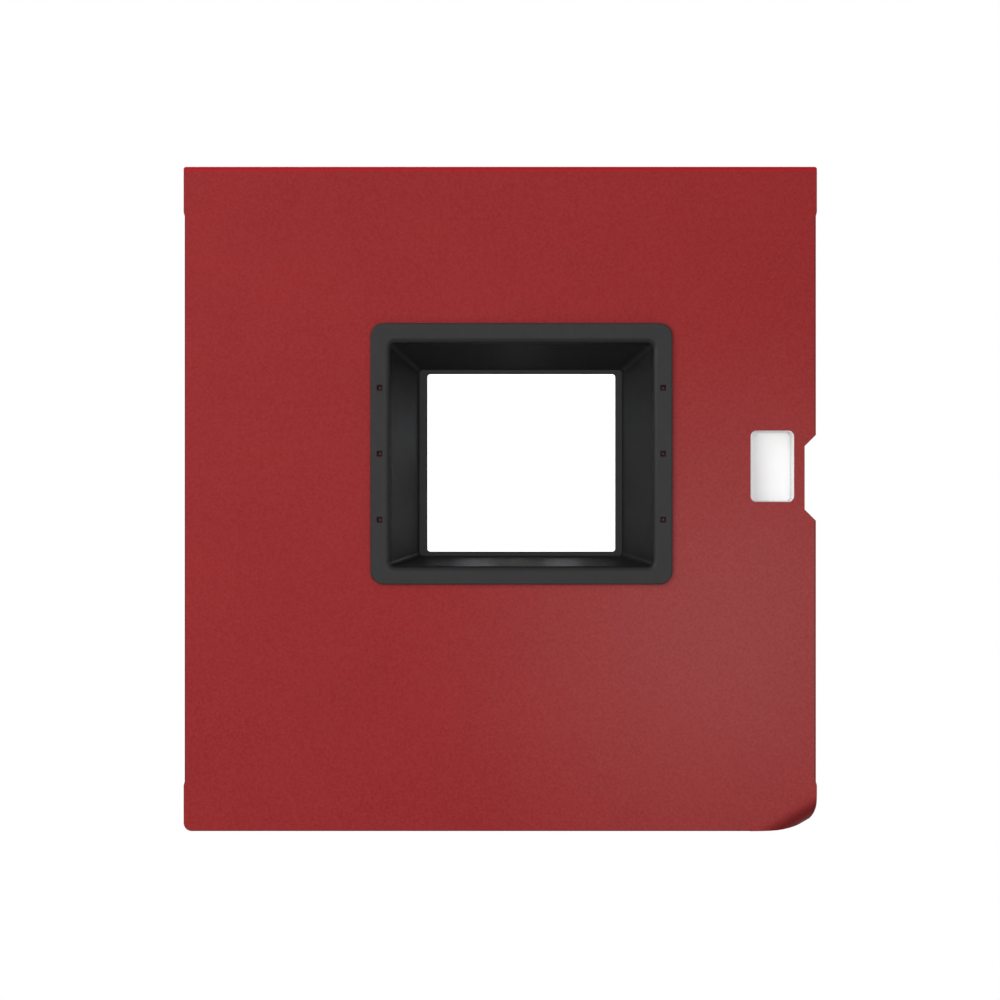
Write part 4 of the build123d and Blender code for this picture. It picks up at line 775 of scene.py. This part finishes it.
def paintedShadePads(settings):  # painted shade in the six square openings
    hood = cadNodes["bezel"].data
    face = min(v.co.y for v in hood.vertices)
    front = [v.co for v in hood.vertices if v.co.y < face + settings["frontLayer"] * mm]
    inset = settings["fromEdge"] * mm
    left, right = min(v.x for v in front) + inset, max(v.x for v in front) - inset
    middle = (min(v.z for v in front) + max(v.z for v in front)) / 2
    tree, given = newTree("paintedShadePads", {"Outer": "NodeSocketFloat", "Inner": "NodeSocketFloat",
                                          "Depth": "NodeSocketFloat", "Finish": "NodeSocketMaterial"})
    both = addNode(tree, "GeometryNodeJoinGeometry")
    for label in ("Outer", "Inner"):
        rim = addNode(tree, "GeometryNodeCurvePrimitiveQuadrilateral", {"Width": given[label],
                                                                        "Height": given[label]})
        tree.links.new(rim.outputs[0], both.inputs[0])
    flat = addNode(tree, "GeometryNodeFillCurve", {0: both.outputs[0]})
    thick = addNode(tree, "GeometryNodeExtrudeMesh", {"Mesh": flat.outputs[0], "Individual": False,
                                                      "Offset Scale": given["Depth"]})
    closed = addNode(tree, "GeometryNodeJoinGeometry")
    flipped = addNode(tree, "GeometryNodeFlipFaces", {0: flat.outputs[0]})
    for side in (thick, flipped):
        tree.links.new(side.outputs[0], closed.inputs[0])
    whole = addNode(tree, "GeometryNodeMergeByDistance", {0: closed.outputs[0],
                                                          "Distance": settings["merge"] * mm})
    placed = addNode(tree, "GeometryNodeInstanceOnPoints", {"Points": given["Geometry"],
                                                            "Instance": whole.outputs[0],
                                                            "Rotation": (math.pi / 2, 0.0, 0.0)})
    closeTree(tree, placed.outputs[0], given["Finish"], smooth=False)
    rows = [(i - (settings["rows"] - 1) / 2) * settings["pitch"] * mm for i in range(settings["rows"])]
    y = face + (settings["sunk"] + settings["depth"]) * mm
    points = [(x, y, middle + row) for x in (left, right) for row in rows]
    values = {"Outer": settings["outer"] * mm, "Inner": settings["inner"] * mm,
              "Depth": settings["depth"] * mm, "Finish": cadFinishes["door_seal"]}
    pads = fromTree("paintedShadePads", tree, values, points)
    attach(pads, "door")


inkLook = {"tones": ("#E9E9E6", "#DCDCD8"), "patch": 0.8, "grain": 0.3, "relief": 0.01, "rough": (0.5, 0.6),
           "edge": 0.05}


def printedInk(look):
    # pad-printed marks: flat white ink with slightly ragged cover
    return finish("padPrintedInk", look)[0]


markSettings = {"reach": 0.27, "barLength": 3.2, "line": 0.7, "ringRadius": 1.6, "rise": 0.12, "steps": 28,
                "below": 10.0}


def rockerMarks(settings):  # a line and a ring on the rocker's two ends, for on and off
    rocker = cadNodes["switch_rocker"]
    low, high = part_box("switch_rocker")
    middle = (low + high) / 2
    along = Vector((0, 1, 0))
    half, line, radius = settings["barLength"] / 2, settings["line"], settings["ringRadius"]
    bar = [[(-line / 2, -half), (line / 2, -half), (line / 2, half), (-line / 2, half)]]
    turns = [2 * math.pi * i / settings["steps"] for i in range(settings["steps"])]
    ring = [[(r * math.cos(a), r * math.sin(a)) for a in turns] for r in (radius, radius - line)]
    shape = bmesh.new()
    for side, rims in ((-1, bar), (1, ring)):
        start = Vector((middle.x + side * settings["reach"] * (high.x - low.x), middle.y,
                        low.z - settings["below"] * mm))
        spot, facing = rocker.ray_cast(start, Vector((0, 0, 1)))[1:3]
        across = along.cross(facing).normalized()
        layers = []
        for height in (-settings["rise"], settings["rise"]):
            layers.append([[shape.verts.new(spot + (across * u + along * v + facing * height) * mm)
                            for u, v in rim] for rim in rims])
        count = len(rims[0])
        for i in range(count):
            j = (i + 1) % count
            for k in range(len(rims)):
                shape.faces.new((layers[0][k][i], layers[0][k][j], layers[1][k][j], layers[1][k][i]))
            if len(rims) == 2:
                for layer in layers:
                    shape.faces.new((layer[0][i], layer[0][j], layer[1][j], layer[1][i]))
        if len(rims) == 1:
            for layer in layers:
                shape.faces.new(layer[0])
    marks = meshed("rockerMarks", shape, printedInk(inkLook))
    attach(marks, "rocker")


plateSettings = {"places": (4.2, 10.2), "width": 1.6, "rise": 0.2, "sunk": 1.5, "fromEnd": 3.0, "edge": 0.08}


def polePlates(settings):  # the magnet's two steel pole plates, just proud of the catch's face
    low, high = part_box("magnet_catch")
    rise, sunk = settings["rise"] * mm, settings["sunk"] * mm
    size = Vector((settings["width"] * mm, rise + sunk, high.z - low.z - 2 * settings["fromEnd"] * mm))
    shape = bmesh.new()
    for place in settings["places"]:
        corner = Vector((low.x + place * mm, low.y - rise, (low.z + high.z) / 2))
        centre = corner + size * Vector((0.5, 0.5, 0))
        for vert in bmesh.ops.create_cube(shape, size=1.0)["verts"]:
            vert.co = vert.co * size + centre
    bmesh.ops.bevel(shape, geom=shape.edges, offset=settings["edge"] * mm, segments=2, affect="EDGES")
    plates = meshed("polePlates", shape, cadFinishes["strike_plate"])
    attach(plates, "housing")


tabRibs(tabSettings)
spotWelds(weldSettings)
paintedShadePads(shadePadSettings)
rockerMarks(markSettings)
polePlates(plateSettings)
print("ribs, weld marks, opening pads, rocker marks and pole plates made")


# Floor, lights and camera

floorLook = {"tones": ("#F2F2F1", "#EDEDEC"), "patch": 300.0, "grain": 2.0, "relief": 0.01,
             "rough": (0.8, 0.9), "edge": 0.1, "glow": 0.18}


def seenRays(tree, other, seen):  # one value for rays from the camera, also by way of gloss or glass
    path = addNode(tree, "ShaderNodeLightPath").outputs
    share = path["Is Camera Ray"]
    for kind in ("Is Glossy Ray", "Is Transmission Ray"):
        share = addNode(tree, "ShaderNodeMath", {0: share, 1: path[kind]}, operation="MAXIMUM").outputs[0]
    return addNode(tree, "ShaderNodeMapRange", {"Value": share, "To Min": other, "To Max": seen}).outputs[0]


def paintedBoard(look):
    # matt painted board: pale, with a faint mottle, lifted towards the white behind it where it is seen
    material, tree, shader, place = finish("mattPaintedBoard", look, Emission_Color=linear("#FFFFFF"))
    tree.links.new(seenRays(tree, 0.0, look["glow"]), shader.inputs["Emission Strength"])
    return material


floorSettings = {"height": -0.75, "halfWidth": 3.0, "front": -3.0, "back": 1.55}


def makeFloor(settings):
    z, half, front, back = (settings[key] for key in ("height", "halfWidth", "front", "back"))
    mesh = bpy.data.meshes.new("studioFloor")
    mesh.from_pydata([(-half, front, z), (half, front, z), (half, back, z), (-half, back, z)], [],
                     [(0, 1, 2, 3)])
    link("studioFloor", mesh, paintedBoard(floorLook))


studioSettings = {
    "ambient": 0.33, "tint": "#FFFFFF",
    "lights": {  # place, size in metres, watts
        "leftLight": ((-1.5, -1.5, 0.8), 1.2, 16.5),
        "frontLight": ((0.1, -2.8, 0.0), 1.2, 8.0),
        "frontLeftLight": ((-1.15, -2.3, 0.1), 1.2, 7.5),
        "frontRightLight": ((1.15, -2.3, 0.1), 1.2, 4.5),
        "topLight": ((0.0, -2.3, 1.15), 2.4, 6.0),
        "backLight": ((-0.9, 2.2, 1.9), 1.4, 26.0),
    },
}


def lightStudio(settings):
    world = bpy.data.worlds.new("paleStudio")
    world.use_nodes = True
    bpy.context.scene.world = world
    tree = world.node_tree
    tree.nodes.clear()
    tint = linear(settings["tint"])
    level = seenRays(tree, settings["ambient"], 1.0)
    sky = addNode(tree, "ShaderNodeBackground", {"Color": tint, "Strength": level})
    addNode(tree, "ShaderNodeOutputWorld", {"Surface": sky.outputs[0]})
    for name, (place, size, watts) in settings["lights"].items():
        lamp = bpy.data.lights.new(name, "AREA")
        lamp.shape, lamp.size, lamp.energy, lamp.color = "SQUARE", size, watts, tint[:3]
        holder = bpy.data.objects.new(name, lamp)
        holder.location = place
        holder.rotation_euler = (-Vector(place)).to_track_quat("-Z", "Y").to_euler()
        bpy.context.scene.collection.objects.link(holder)


cameraSettings = {"x": -0.0002, "z": -0.000875, "distance": 1.5, "lens": 77.14, "sensor": 36.0}


def placeCamera(settings):
    camera = bpy.data.cameras.new("frontCamera")
    camera.lens, camera.sensor_width = settings["lens"], settings["sensor"]
    holder = bpy.data.objects.new("frontCamera", camera)
    holder.location = (settings["x"], cadLow.y - settings["distance"], settings["z"])
    holder.rotation_euler = (math.pi / 2, 0, 0)
    bpy.context.scene.collection.objects.link(holder)
    bpy.context.scene.camera = holder


makeFloor(floorSettings)
lightStudio(studioSettings)
placeCamera(cameraSettings)
bpy.context.scene.view_settings.view_transform = "Standard"
print("studio ready")
